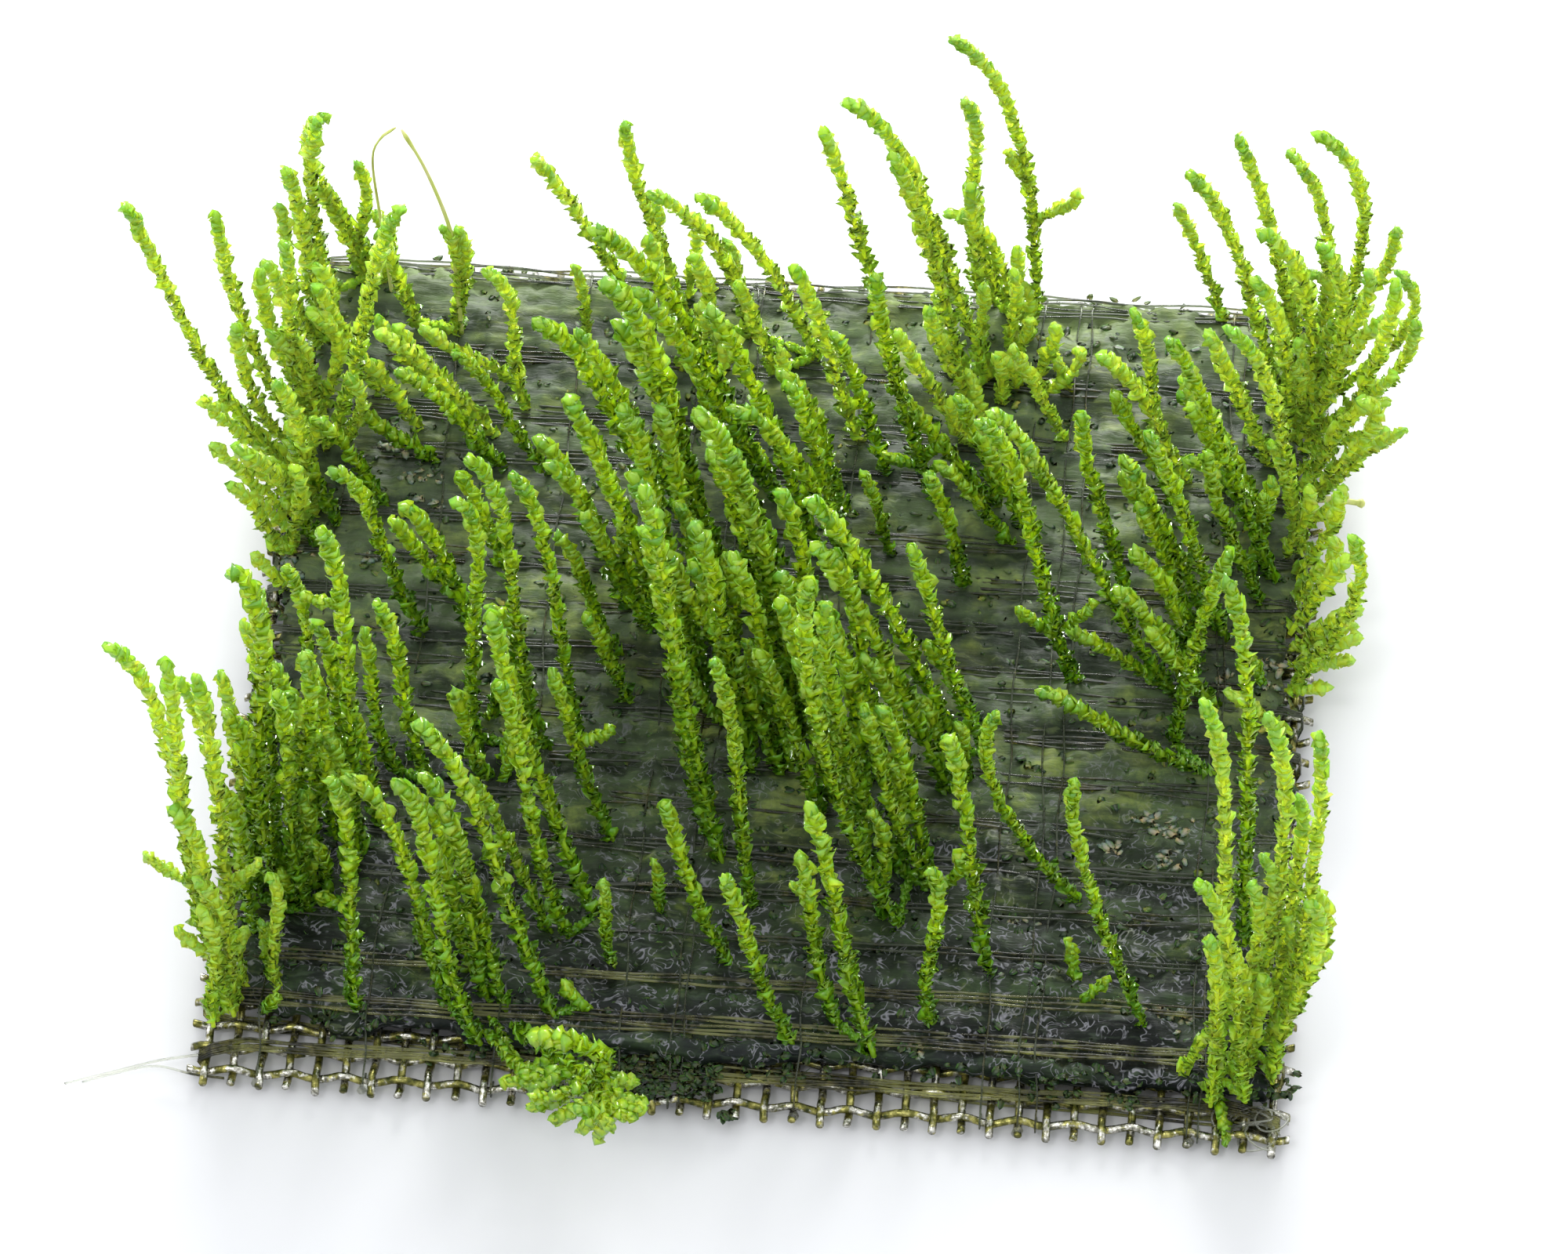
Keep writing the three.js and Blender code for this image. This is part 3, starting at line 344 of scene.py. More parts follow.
# Small sprigs that lie or stand on the mat between the shoots, as rows of the same kind
SPRIGS = [
    (-11.9, -21.9, 2.9, -2.8, 1.3, 1, -20), (-11.2, -21.6, 1.9, -2.9, 0.6, 0.9, -30),
    (-21.6, -19.6, -0.4, 0.4, 3.4, 0.9), (-21.6, -21.6, 0.5, -0.2, 1.5, 0.9),
    (-6.2, -17.7, -0.5, 0.6, 5.4, 0.85, 25, -0.3), (-4.3, -14.6, -0.4, 0.4, 3.4, 0.85),
    (-10.9, 20.2, -0.7, 0, 4.7, 0.85), (-23.6, 5.3, -1.1, 0, 1, 0.8),
    (14.8, -16.9, -0.6, 0.8, 1.6, 0.8, 60), (15.4, -18, 0.9, 0.5, 1.2, 0.8),
    (22.6, 0.6, -1, 0.6, 1.8, 0.9, 70), (-17.2, 19.9, 0.1, 0, 7.2, 1.1),
    (23.9, 4.4, 2.4, -0.4, 6.2, 1.6, -30), (24, 3.2, 3.1, -1, 4.4, 1.4, -60),
    (24, 2.2, 3.2, 0, 2.2, 1.3, -80), (24, 0.6, 1.9, -0.1, 0.5, 1.1, -80),
    (24, 15.5, 3.9, -0.3, 2, 0.9, -70), (21.4, -22.4, 0.6, -2.2, -1.1, 0.9),
    (-21.4, -9.4, -1.2, 1, 8.5, 1.3), (-20.2, -13.2, -1.4, 1.6, 10.5, 1.3, 50),
    (-18.6, -14.2, -0.9, 1.4, 9.5, 1.3), (-19.6, -11.4, -1.2, 1.2, 11.8, 1.35),
    (-21.8, -13.9, -1.8, 1.5, 9.4, 1.3), (-22.6, -17.3, -1.5, 1.6, 8.8),
    (-17.6, -10.6, -1.6, 1.2, 7.5, 1.2), (-21.6, 7.2, -2.6, 1, 4.6, 1.3, 60),
    (-22.4, 5.8, -2.2, 0.4, 5.8, 1.3), (-19.5, 8.6, -3.4, 0.5, 5.2, 1.3, 60),
    (-20.6, 15.6, -2.8, 0, 7.4, 1.2), (-18.4, 13.4, -3.2, 0, 5.2, 1.2, 60), (0.6, -6.2, -3.4, 2, 8.6, 1.4),
    (-0.8, -4.4, -3.1, 2, 10.4, 1.4), (2.6, -8.4, -3.2, 2.4, 8.8, 1.35), (4.8, -9.6, -3.6, 2.6, 9.6, 1.35),
    (-0.4, 6.4, -4.2, 0, 10.8, 1.35), (18.6, 7.8, -3.4, 0, 6.6, 1.2), (21.2, 11.4, -3, -1, 8.8, 1.3),
    (20.8, 13.8, -3, -1, 7.9, 1.3), (22.2, 14.4, -3.4, -1, 10.6, 1.35),
    (-11.7, -20.1, -3.1, 3, 12.3, 1.5, 50), (-10.9, -20.4, -3.1, 3, 10.9, 1.4),
    (-12.6, -18.5, -1.9, 2, 6.4, 1.3), (-13.2, -17.1, -2.4, 2, 8.2, 1.4, 50),
    (18.4, 13.1, -4.7, 0, 8.6, 1.3, 60), (17.9, 11.6, -3.2, 0, 7.7, 1.3), (19.5, 1.9, -3.6, 0, 8, 1.4, 50),
    (19.1, 4, -2.9, 0, 8.9, 1.3), (23.9, 14.1, 3.6, -0.4, 14.6, 1.3, -20, 1.2),
    (23.6, 16, 3.8, 0, 9.3, 1.3, -40), (23.9, 13.1, 3.9, 0, 6.4, 1.2, -90), (23.4, 18, 2.7, 0, 10.4, 1.3),
    (23.8, 11.4, 2.2, 0, 8.4, 1.3, 80), (24, 16.6, 3.3, -1, 3.4, 1.1, 120), (-23.4, 15, -2.3, 0, 9.6, 1.3),
    (-22.8, 12.6, -2.6, 0, 7.2, 1.3, 60), (-23.6, 5.3, 0.3, 0, 6.4, 1.3), (-23.6, -4.2, -1, 0, 6.3, 1.2),
    (-14.7, 13.3, -5.7, 0, 6.9, 1.4, 60), (-16, 14.2, -3.5, 0, 6.5, 1.3),
    (-14.7, 1.7, -3.2, 0, 8.3, 1.4, 50), (-15.6, 3.1, -2.8, 0, 5.5, 1.3), (-8.9, 6.5, -3.2, 0, 8, 1.4, 50),
    (-6.9, -2.4, -2, 0, 6.2, 1.3), (2.6, 14.3, -3.2, 0, 12.4, 1.3), (2.4, 9.8, -3.4, 0, 9.9, 1.3, 50),
    (4.1, 12.4, -2.7, 0, 10), (8.3, 5.7, -2, 0, 8.1, 1.3), (-3.2, -2.6, -3.6, 2, 14.3, 1.5),
    (-0.8, -6.1, -2.9, 2, 15.4, 1.5), (0.4, -2.3, -2.6, 2, 15.8, 1.5), (1, -5.9, -3, 2, 13.2, 1.5),
    (3, -7.6, -2.7, 2, 12.1, 1.5), (4.9, -9.3, -3.1, 2, 11.4, 1.4), (2.1, -0.2, -2.3, 1, 12.2, 1.5),
    (5, -4.7, -2.3, 1, 13.4, 1.4), (19.9, 0.1, -4.6, 0, 7.4, 1.4, 50), (20.4, -0.6, -3.4, 0, 5.6, 1.3),
    (9.7, 10.6, -2.3, 0, 8, 1.3), (10.9, 9.4, -2.4, 0, 6.8, 1.3), (4.6, -6.2, -2.4, 2, 10.4, 1.4),
    (7.8, -11.2, -2.6, 2, 9.2, 1.4), (6.2, -8.6, -3.6, 2, 11.8, 1.4), (-23.8, 8.4, -2.4, 0, 2.6, 1.2, 60),
    (-23.8, 9.8, -2.1, 0, 3.8, 1.2), (-23.8, 6.6, -1.8, 0, 2.4, 1.1), (-23.7, 3.1, -1.4, 0, 2.4, 1.1),
    (24, 7.6, 1.3, 0, 6.2, 1.3), (24, 6.2, 1.1, 0, 4.6, 1.3, 60), (23.4, 8.9, 0.6, 0, 5, 1.3),
    (23.6, 10, 1.8, 0, 3.8, 1.2, 70), (-14.2, 16.8, -4.4, 0, 3.6, 1.3), (-17.4, 11.4, -3.4, 0, 3.4, 1.3),
    (-21.9, 22.8, -2.4, 0, 6.6, 1.1), (-22.5, 23.3, 0.2, 0, 7.7, 1), (-24, 7.6, -3.4, 0, 4.9, 1.1),
    (-24, 5.2, -2.5, 0, 4.7, 1.1, 60), (-24, 10, -4.2, 0, 5.4, 1.1), (-14.2, 11.4, -5, 0, 6.4, 1.2, 60),
    (-13.2, 4.7, -2.2, 0, 7.2, 1.2), (-7.4, 3.3, -3.9, 0, 9.9, 1.3, 60), (-6.2, 1.9, -3.2, 0, 8.3, 1.3),
    (-0.5, 2.4, -3.1, 1, 11.6, 1.4), (2.7, 6.5, -3, 1, 11.9, 1.3), (7.7, 14.7, -3.5, 0, 7.7, 1.2),
    (10.3, 8.5, -3.8, 0, 5.4, 1.2, 60), (9.2, 10.9, -4.4, 0, 7.6, 1.2), (18.5, 0.1, -5.2, 0, 4.1, 1.2, 60),
    (19.2, 1.1, -3.1, 0, 5.5, 1.2), (24.2, 16.1, 4.4, 0, 9, 1, -10, 1), (24.2, 14.1, 3.8, 0, 7.4, 1, -40),
    (24.2, 12.1, 4.4, 0, 5.6, 1, -60), (24.2, 18, 3.4, 0, 10.2, 0.9, 30, 1.2),
    (24.2, 3.2, 2.7, 0, 1.9, 1.1, -80), (24.2, 2.1, 2.6, 0, 0.6, 1, -80), (24.2, -18, 1.2, 1, 6.6, 1.1, 0),
    (-24, -12.6, -2.3, 1, 11, 1.1), (-23.6, -11.6, -0.9, 1, 10.6, 1.1, 10), (-21.4, -4, -1.2, 1, 9, 1.1),
    (-19.5, -8.5, -1.1, 1, 10.7, 1.1), (-9.3, -15.9, -3.7, 3, 6.8, 1.1),
    (20.1, 12.7, -2.5, 0, 6.6, 1.2, 60), (22.1, 10.9, -2.1, 0, 5.5, 1.2), (12.5, 15.1, -2.8, 0, 6.6, 1.1),
    (19.6, 23.4, -2.6, 0, 8.1, 1), (23.7, -1.8, -3, 0, 2.6, 1.1, 60), (24, 9.1, -1.8, 0, 7.8, 1.1),
]


# Shapes from arrays of points


def make_piece(name, points, faces, *materials):
    """A mesh object from points in millimetres."""
    mesh = bpy.data.meshes.new(name)
    mesh.from_pydata((np.asarray(points) * MM).tolist(), [], faces)
    mesh.update()
    mesh.shade_smooth()
    for material in materials:
        mesh.materials.append(material)
    piece = bpy.data.objects.new(name, mesh)
    bpy.context.scene.collection.objects.link(piece)
    return piece


def directions(path):
    """The way that a path runs at each of its points, as unit vectors."""
    ways = np.gradient(path, axis=0)
    return ways / np.linalg.norm(ways, axis=1)[:, None]


def side_frames(path):
    """The way at each point of the path, and two vectors square to it that turn with it and never flip."""
    ways = directions(path)
    side = np.cross(ways[0], (0.31, 0.87, 0.38))
    sides = []
    for way in ways:
        side = side - way * side.dot(way)
        side = side / np.linalg.norm(side)
        sides.append(side)
    return ways, np.array(sides), np.cross(ways, sides)


def tube(path, radii, sides):
    """A round closed tube along a path: its points, and its faces as rows of corners."""
    path = np.asarray(path, float)
    _, across, up = side_frames(path)
    turn = np.linspace(0, 2 * math.pi, sides, endpoint=False)
    ring = across[:, None] * np.cos(turn)[:, None] + up[:, None] * np.sin(turn)[:, None]
    points = path[:, None] + ring * np.broadcast_to(radii, len(path))[:, None, None]
    faces = []
    for step in range(len(path) - 1):
        for side in range(sides):
            after = (side + 1) % sides
            low, high = step * sides, (step + 1) * sides
            faces.append((low + side, low + after, high + after, high + side))
    last = (len(path) - 1) * sides
    faces += [tuple(range(sides - 1, -1, -1)), tuple(range(last, last + sides))]
    return points.reshape(-1, 3), faces


def joined(parts):
    """Several sets of points and faces as one set."""
    points, faces, start = [], [], 0
    for part_points, part_faces in parts:
        points.append(part_points)
        faces += [tuple(corner + start for corner in face) for face in part_faces]
        start += len(part_points)
    return np.concatenate(points), faces


def any_angle(rng):
    """A random angle, from a full turn and a little more."""
    return rng.uniform(0, 6.3)


def drift(places, rng, size, waves=(9.0, 4.0, 1.7)):
    """A smooth random wander along a line of places, about as large as size."""
    total = np.zeros(len(places))
    for wave in waves:
        total += np.sin(places / wave * 2 * math.pi * rng.uniform(0.8, 1.2) + any_angle(rng))
    return total * size / len(waves)


def distances(line):
    """How far along the line each of its points lies."""
    return np.concatenate([[0], np.cumsum(np.linalg.norm(np.diff(line, axis=0), axis=1))])


def at_spots(spots, reach, values):
    """What the values at the points of a line, reach along it, are at other spots along it."""
    return np.column_stack([np.interp(spots, reach, values[:, axis]) for axis in range(3)])


def evenly(line, count):
    """The same line with its points spread evenly along it."""
    reach = distances(line)
    return at_spots(np.linspace(0, reach[-1], count), reach, line)


def smooth_line(corners, count, steps=12):
    """A path of evenly spaced points through a few corners, rounded between them."""
    corners = np.asarray(corners, float)
    padded = np.vstack([2 * corners[0] - corners[1], corners, 2 * corners[-1] - corners[-2]])
    t = np.linspace(0, 1, steps, endpoint=False)[:, None]
    pieces = [
        0.5 * (2 * start + (end - before) * t + (2 * before - 5 * start + 4 * end - after) * t**2
               + (3 * start - before - 3 * end + after) * t**3)
        for before, start, end, after in zip(padded, padded[1:], padded[2:], padded[3:])
    ]
    return evenly(np.vstack(pieces + [corners[-1:]]), count)


def turned(first, second, angle):
    """Two vectors square to each other at each place, both turned by the angle towards the second."""
    cos, sin = np.cos(angle)[:, None], np.sin(angle)[:, None]
    return first * cos + second * sin, second * cos - first * sin


# Modelling by hand


def choose(piece, kind, test):
    """Selects the vertices, edges or faces of the piece in edit mode that pass the test."""
    shape = bmesh.from_edit_mesh(piece.data)
    bpy.ops.mesh.select_all(action="DESELECT")
    for part in getattr(shape, kind):
        part.select = test(part)
    shape.select_flush(True)
    bmesh.update_edit_mesh(piece.data)


def taken_apart(piece):
    """The points and faces of a piece that has been modelled, which is then thrown away."""
    bpy.ops.object.mode_set(mode="OBJECT")
    points = np.array([v.co for v in piece.data.vertices])
    faces = [tuple(face.vertices) for face in piece.data.polygons]
    bpy.data.objects.remove(piece)
    return points, faces


def model_leaf(rows):
    """One moss leaf along Y with its back up. Each row is how far along it lies, half the leaf's width
    there, and how high its edges and its rib are. The last row is the tip."""
    bpy.ops.object.select_all(action="DESELECT")
    bpy.ops.mesh.primitive_grid_add(x_subdivisions=2, y_subdivisions=len(rows) - 1, size=2)
    leaf = bpy.context.object
    bpy.ops.object.mode_set(mode="EDIT")
    bpy.context.tool_settings.mesh_select_mode = (True, False, False)
    for number, (along, half, edge, rib) in enumerate(rows):
        start = -1 + 2 * number / (len(rows) - 1)
        # Shaped rows are set down further along, so that no row is taken for another one
        choose(leaf, "verts", lambda v: abs(v.co.y - start) < 0.01)
        bpy.ops.transform.resize(value=(max(half, 0.001), 1, 1))
        bpy.ops.transform.translate(value=(0, LEAF_BENCH + along - start, edge))
        choose(leaf, "verts", lambda v: abs(v.co.y - LEAF_BENCH - along) < 0.01 and abs(v.co.x) < 0.5 * half)
        bpy.ops.transform.translate(value=(0, 0, rib - edge))
    choose(leaf, "verts", lambda v: v.co.y > LEAF_BENCH + rows[-1][0] - 0.01)
    bpy.ops.mesh.merge(type="CENTER")
    bpy.ops.mesh.select_all(action="SELECT")
    bpy.ops.transform.translate(value=(0, -LEAF_BENCH, 0))
    # The inner face of the leaf is the same sheet turned over, with its rib pushed in
    bpy.ops.mesh.duplicate()
    bpy.ops.mesh.flip_normals()
    shape = bmesh.from_edit_mesh(leaf.data)
    for v in shape.verts:
        v.select = v.select and not v.is_boundary
    shape.select_flush(True)
    bmesh.update_edit_mesh(leaf.data)
    bpy.ops.transform.translate(value=(0, 0, -LEAF_THICKNESS))
    bpy.ops.mesh.select_all(action="SELECT")
    bpy.ops.mesh.remove_doubles(threshold=0.001)
    bpy.ops.mesh.normals_make_consistent(inside=False)
    return taken_apart(leaf)


# The moss leaves


bud_shape, leaf_faces = model_leaf(BUD_LEAF)
open_shape, _ = model_leaf(OPEN_LEAF)
pressed_shape, pressed_faces = model_leaf(PRESSED_LEAF)


class Leaves:
    """Leaves gathered one shoot at a time, to be made into one mesh."""

    def __init__(self):
        self.roots, self.axes, self.opened, self.growth, self.shade = [], [], [], [], []
        self.stems, self.stem_growth = [], []

    def add(self, roots, axes, sizes, opened, growth, shade):
        """Leaves with their roots, the ways across, along and out of them, how far each is opened, how
        young it is, and its own shade."""
        self.roots.append(roots)
        self.axes.append(np.stack(axes, axis=1) * sizes[:, None, None])
        self.opened.append(opened)
        self.growth.append(growth)
        self.shade.append(shade)

    def add_stem(self, path, radii, growth, sides=6):
        """A stem, and how young it is at each point of its path."""
        self.stems.append(tube(path, radii, sides))
        self.stem_growth.append(np.repeat(growth, sides))

    def piece(self, name, material, closed=bud_shape, opened=open_shape, faces=leaf_faces):
        """One mesh of all the leaves and stems, with the attribute that the moss materials read: how
        young the place is, the leaf's own shade, how near it is to the leaf's edge, and how far along."""
        count = len(closed)
        roots, axes = np.concatenate(self.roots), np.concatenate(self.axes)
        share = np.concatenate(self.opened)[:, None, None]
        shapes = closed * (1 - share) + opened * share
        points = roots[:, None] + np.einsum("npk,nkc->npc", shapes, axes)
        every = np.arange(len(roots))[:, None] * count
        all_faces = [row for face in faces for row in (every + np.array(face)).tolist()]
        half = np.abs(closed[:, 0]) / np.abs(closed[:, 0]).max()
        marks = [np.column_stack([
            np.repeat(np.concatenate(self.growth), count),
            np.repeat(np.concatenate(self.shade), count),
            np.tile(np.where(half > 0.6, 1.0, half), len(roots)),
            np.tile(closed[:, 1] / closed[:, 1].max(), len(roots)),
        ])]
        marks += [growth[:, None] * (1, 0, 0, 0) + (0, 0.5, 0, 0) for growth in self.stem_growth]
        piece = make_piece(name, *joined([(points.reshape(-1, 3), all_faces), *self.stems]), material)
        attribute = piece.data.attributes.new("moss", "FLOAT_COLOR", "POINT")
        attribute.data.foreach_set("color", np.concatenate(marks).ravel())
        return piece


def shoot_line(root, way, bow, nod, sway=0, count=60):
    """The line that a shoot follows from its root to its tip. Sway bends it along the photograph's line of
    sight, by a share of its length."""
    root, way = np.asarray(root, float), np.asarray(way, float)
    tip = root + way
    length, angle = np.linalg.norm(way), math.radians(nod)
    lean = min(NOD_LENGTH, NOD_SHARE * length)
    deep = sway * length * np.array(LINE_OF_SIGHT)
    lower = root + LOWER_BEND * way + (LOWER_BOW * bow, 0, 0) + deep
    upper = tip + (lean * math.sin(angle) + bow, 0, -lean * math.cos(angle)) - deep
    t = np.linspace(0, 1, count)[:, None]
    line = (1 - t)**3 * root + 3 * (1 - t)**2 * t * lower + 3 * (1 - t) * t * t * upper + t**3 * tip
    return evenly(line, count)


def reach_of_leaves(from_tip, bulk):
    """How far out the leaves of a shoot reach: a rounded bud at its tip, a slight neck, and even below."""
    bud = np.clip(1 - (1 - np.clip(from_tip, 0, BUD_LENGTH) / BUD_LENGTH)**2, 0, 1)**0.6
    return 0.5 * bulk * bud * np.interp(from_tip, [1.2, 2.0, 3.2], [0.9, 0.88, 1.0])


def core_of_shoot(from_tip, bulk):
    """The radius of the stem, which swells inside the bud."""
    radii = [0.02, 0.15, 0.25, 0.24, 0.17, STEM_RADIUS]
    return bulk * np.interp(from_tip, [0, 0.12, 0.4, 0.9, 1.6, 2.4], radii)


def grow(leaves, line, width, rng, youngest=1.0, oldest=0.0):
    """Leaves all round one stem, tight at its tip and spreading lower down."""
    length = np.linalg.norm(np.diff(line, axis=0), axis=1).sum()
    line = evenly(line, max(8, int(length / 0.35)))
    reach = np.linspace(0, length, len(line))
    bulk = width / SHOOT_WIDTH
    spots = np.arange(0.1, max(0.3, length - 0.8 * LEAF_LENGTH * bulk), LEAF_STEP * min(1.1, bulk))
    count = len(spots)
    from_tip = length - spots
    lower = np.clip((from_tip - 1.6) / max(2.0, 0.55 * length), 0, 1)
    turn = np.arange(count) * TURN_A_LEAF + any_angle(rng) + rng.normal(0, 0.4, count)
    way, side, up = (at_spots(spots, reach, values) for values in side_frames(line))
    out = side * np.cos(turn)[:, None] + up * np.sin(turn)[:, None]
    swell = 1 + 0.12 * np.sin(spots / 1.9 * FULL_TURN + any_angle(rng))
    swell += 0.08 * np.sin(spots / 1.1 * FULL_TURN + any_angle(rng))
    sizes = bulk**0.5 * rng.uniform(0.62, 1.05, count) * np.interp(from_tip, [0.9, 2.0], [0.88, 1.0])
    core = core_of_shoot(from_tip, bulk) * 0.8
    leaf_tips = np.maximum(from_tip - 0.8 * LEAF_LENGTH * sizes, 0.02)
    rise = (reach_of_leaves(leaf_tips, bulk) * swell - 0.06 * sizes - core) / (LEAF_LENGTH * sizes)
    tilt = np.arcsin(np.clip(rise, -0.6, 0.6)) + rng.normal(0, 0.09 + 0.07 * lower, count)
    along, outward = turned(way, out, tilt)
    across, outward = turned(np.cross(way, out), outward, rng.normal(0, 0.25 + 0.15 * lower, count))
    opened = np.clip(0.65 * lower + rng.normal(0, 0.25, count) * (0.3 + lower), 0, 1)
    growth = np.clip(oldest + (youngest - oldest) * spots / length + rng.normal(0, 0.06, count), 0, 1)
    leaves.add(at_spots(spots, reach, line) + out * core[:, None], (across, along, outward), sizes, opened,
               growth, rng.uniform(0, 1, count))
    below_tip = length - reach
    drawn_in = 0.08 * (below_tip < 0.01)
    leaves.add_stem(line - directions(line) * drawn_in[:, None], core_of_shoot(below_tip, bulk),
                    oldest + (youngest - oldest) * reach / length)


def grow_shoot(leaves, root, way, look, rng, base=SHOOT_BASE):
    """A shoot, its foot a little way down in the mat, and its twigs."""
    width, nod, bow, twigs = look
    line = shoot_line((*root, base), way, bow, nod, rng.normal(0, SWAY))
    foot = line[0] - directions(line)[0] * ROOT_DEPTH
    grow(leaves, np.vstack([foot, line]), width, rng)
    for share, right, back, up, *look in twigs:
        width, nod, bow = *look, *USUAL_TWIG[len(look):]
        start = line[int(share * (len(line) - 1))]
        twig = shoot_line(start, (right, back, up), bow, nod)
        grow(leaves, twig, width, rng, youngest=0.8, oldest=share * 0.8)


def creep(leaves, start, end, rng):
    """A short leafy stem lying on the mat, from one root to the next."""
    line = np.linspace((*start, MAT_TOP - 0.1), (*end, MAT_TOP - 0.1), 8)
    line[:, 2] += 0.1 * np.sin(np.linspace(0, math.pi, 8))
    grow(leaves, line, CREEPER_WIDTH, rng, youngest=0.0, oldest=0.0)


def read_shoots(rows):
    """The root, the way and the full look of the shoot in each row."""
    return [(row[:2], row[2:5], (*row[5:], *USUAL_SHOOT[len(row) - 5:])) for row in rows]


def in_the_light(root):
    """Whether a shoot stands behind or beside the others, in the light from the white floor."""
    right, back = root
    return back > LIT_BEHIND or abs(right) > LIT_BESIDE


def low_shoots(shoots, rng):
    """The low shoots that crowd the foot of a dense tuft, each leaning as a tall one beside it does."""
    low = []
    for _ in range(round(LOW_SHOOTS * len(shoots))):
        root, way, _ = shoots[rng.integers(len(shoots))]
        spot = np.clip(np.array(root) + rng.normal(0, 1.0, 2), (-24, -21.8), (24, 23.8))
        grown = np.array(way) * (0.6, 1, 1) * rng.uniform(0.22, 0.62) + (*rng.normal(0, 0.6, 2), 0)
        bow, width, nod = rng.normal(0, 0.4), rng.uniform(1.0, 1.35), rng.uniform(0, 70)
        low.append((spot, grown, (width, nod, bow, [])))
    return low


def leafy_tuft(name, shoots, seed):
    """The leafy shoots of one tuft, joined by the stems that creep from root to root."""
    rng = np.random.default_rng(seed)
    leaves = Leaves()
    if len(shoots) >= DENSE_TUFT:
        for root, way, look in low_shoots(shoots, rng):
            grow_shoot(leaves, root, way, look, rng)
    for number, (root, way, look) in enumerate(shoots):
        grow_shoot(leaves, root, way, look, rng)
        if number:
            nearest = min((row[0] for row in shoots[:number]), key=lambda spot: math.dist(spot, root))
            creep(leaves, nearest, root, rng)
    # Tufts in the light take the copy of the leaf material with the light painted in
    lit = in_the_light(np.mean([root for root, _, _ in shoots], axis=0))
    piece = leaves.piece(name, leaf_painted_lit if lit else leaf_green)
    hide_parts(name.removesuffix("_leaves"))
    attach(piece, "root")


# Materials


COLOUR, VALUE = "NodeSocketColor", "NodeSocketFloat"


def feed(tree, value, socket):
    """Links the value to the socket if it is one too, and otherwise sets it, a colour as three numbers."""
    if isinstance(value, bpy.types.NodeSocket):
        tree.links.new(value, socket)
    elif isinstance(value, tuple):
        socket.default_value = (*value, 1)
    else:
        socket.default_value = value


def new_material(name):
    """A node material, its tree, and a function that feeds the named inputs of its surface shader."""
    material = bpy.data.materials.new(name)
    material.use_nodes = True
    tree = material.node_tree

    def dress(inputs):
        """Gives the surface shader a value or a link for each input named."""
        for label, value in inputs.items():
            feed(tree, value, tree.nodes["Principled BSDF"].inputs[label])

    return material, tree, dress


def ramp(tree, source, *stops):
    """A colour ramp over the source, its stops as (place, colour), and a grey as one number."""
    made = tree.nodes.new("ShaderNodeValToRGB")
    points = made.color_ramp.elements
    points[0].position, points[1].position = stops[0][0], stops[-1][0]
    for place, _ in stops[1:-1]:
        points.new(place)
    for point, (_, colour) in zip(points, stops):
        point.color = (*np.broadcast_to(colour, 3), 1)
    tree.links.new(source, made.inputs[0])
    return made.outputs[0]


def along_axis(tree, axis, kind="Object"):
    """How far along the named axis each place lies."""
    place = tree.nodes.new("ShaderNodeTexCoord")
    split = tree.nodes.new("ShaderNodeSeparateXYZ")
    tree.links.new(place.outputs[kind], split.inputs[0])
    return split.outputs[axis]


def noise(tree, scale, detail=3.0, roughness=0.55, stretch=(1, 1, 1), warp=0.0, shift=0.0):
    """Noise fixed to the piece, its scale in patches a metre."""
    place = tree.nodes.new("ShaderNodeTexCoord")
    fit = tree.nodes.new("ShaderNodeMapping")
    fit.inputs["Scale"].default_value = stretch
    fit.inputs["Location"].default_value = (shift, shift, shift)
    made = tree.nodes.new("ShaderNodeTexNoise")
    settings = {"Scale": scale, "Detail": detail, "Roughness": roughness, "Distortion": warp}
    for label, value in settings.items():
        feed(tree, value, made.inputs[label])
    tree.links.new(place.outputs["Object"], fit.inputs["Vector"])
    tree.links.new(fit.outputs["Vector"], made.inputs["Vector"])
    return made.outputs["Fac"]


def spread(tree, source, low, high, to_low=0.0, to_high=1.0):
    """Stretches the part of the source between low and high."""
    made = tree.nodes.new("ShaderNodeMapRange")
    for label, value in (("From Min", low), ("From Max", high), ("To Min", to_low), ("To Max", to_high)):
        made.inputs[label].default_value = value
    tree.links.new(source, made.inputs["Value"])
    return made.outputs["Result"]


def blend(tree, how, share, first, second):
    """Two colours mixed in the named way, each a colour or a socket, by a share or a socket."""
    made = tree.nodes.new("ShaderNodeMix")
    made.data_type, made.blend_type = "RGBA", how
    for socket, value in ((made.inputs[0], share), (made.inputs[6], first), (made.inputs[7], second)):
        feed(tree, value, socket)
    return made.outputs[2]


def worked_out(tree, how, first, second):
    """Two sockets added or multiplied."""
    made = tree.nodes.new("ShaderNodeMath")
    made.operation = how
    for value, socket in zip((first, second), made.inputs):
        tree.links.new(value, socket)
    return made.outputs[0]


def bump(tree, height, strength, distance):
    """A normal that stands for fine relief."""
    made = tree.nodes.new("ShaderNodeBump")
    made.inputs["Strength"].default_value = strength
    made.inputs["Distance"].default_value = distance
    tree.links.new(height, made.inputs["Height"])
    return made.outputs["Normal"]


def moss_marks(tree):
    """The moss attribute's four values."""
    mark = tree.nodes.new("ShaderNodeAttribute")
    mark.attribute_name = "moss"
    split = tree.nodes.new("ShaderNodeSeparateColor")
    tree.links.new(mark.outputs["Color"], split.inputs["Color"])
    return *split.outputs, mark.outputs["Alpha"]


def new_group(name, inputs, outputs):
    """An empty node group, with each input's name, kind and start value, and each output's name and kind."""
    group = bpy.data.node_groups.new(name, "ShaderNodeTree")
    for label, kind, value in inputs:
        group.interface.new_socket(label, in_out="INPUT", socket_type=kind).default_value = value
    for label, kind in outputs:
        group.interface.new_socket(label, in_out="OUTPUT", socket_type=kind)
    return group, group.nodes.new("NodeGroupInput").outputs, group.nodes.new("NodeGroupOutput").inputs


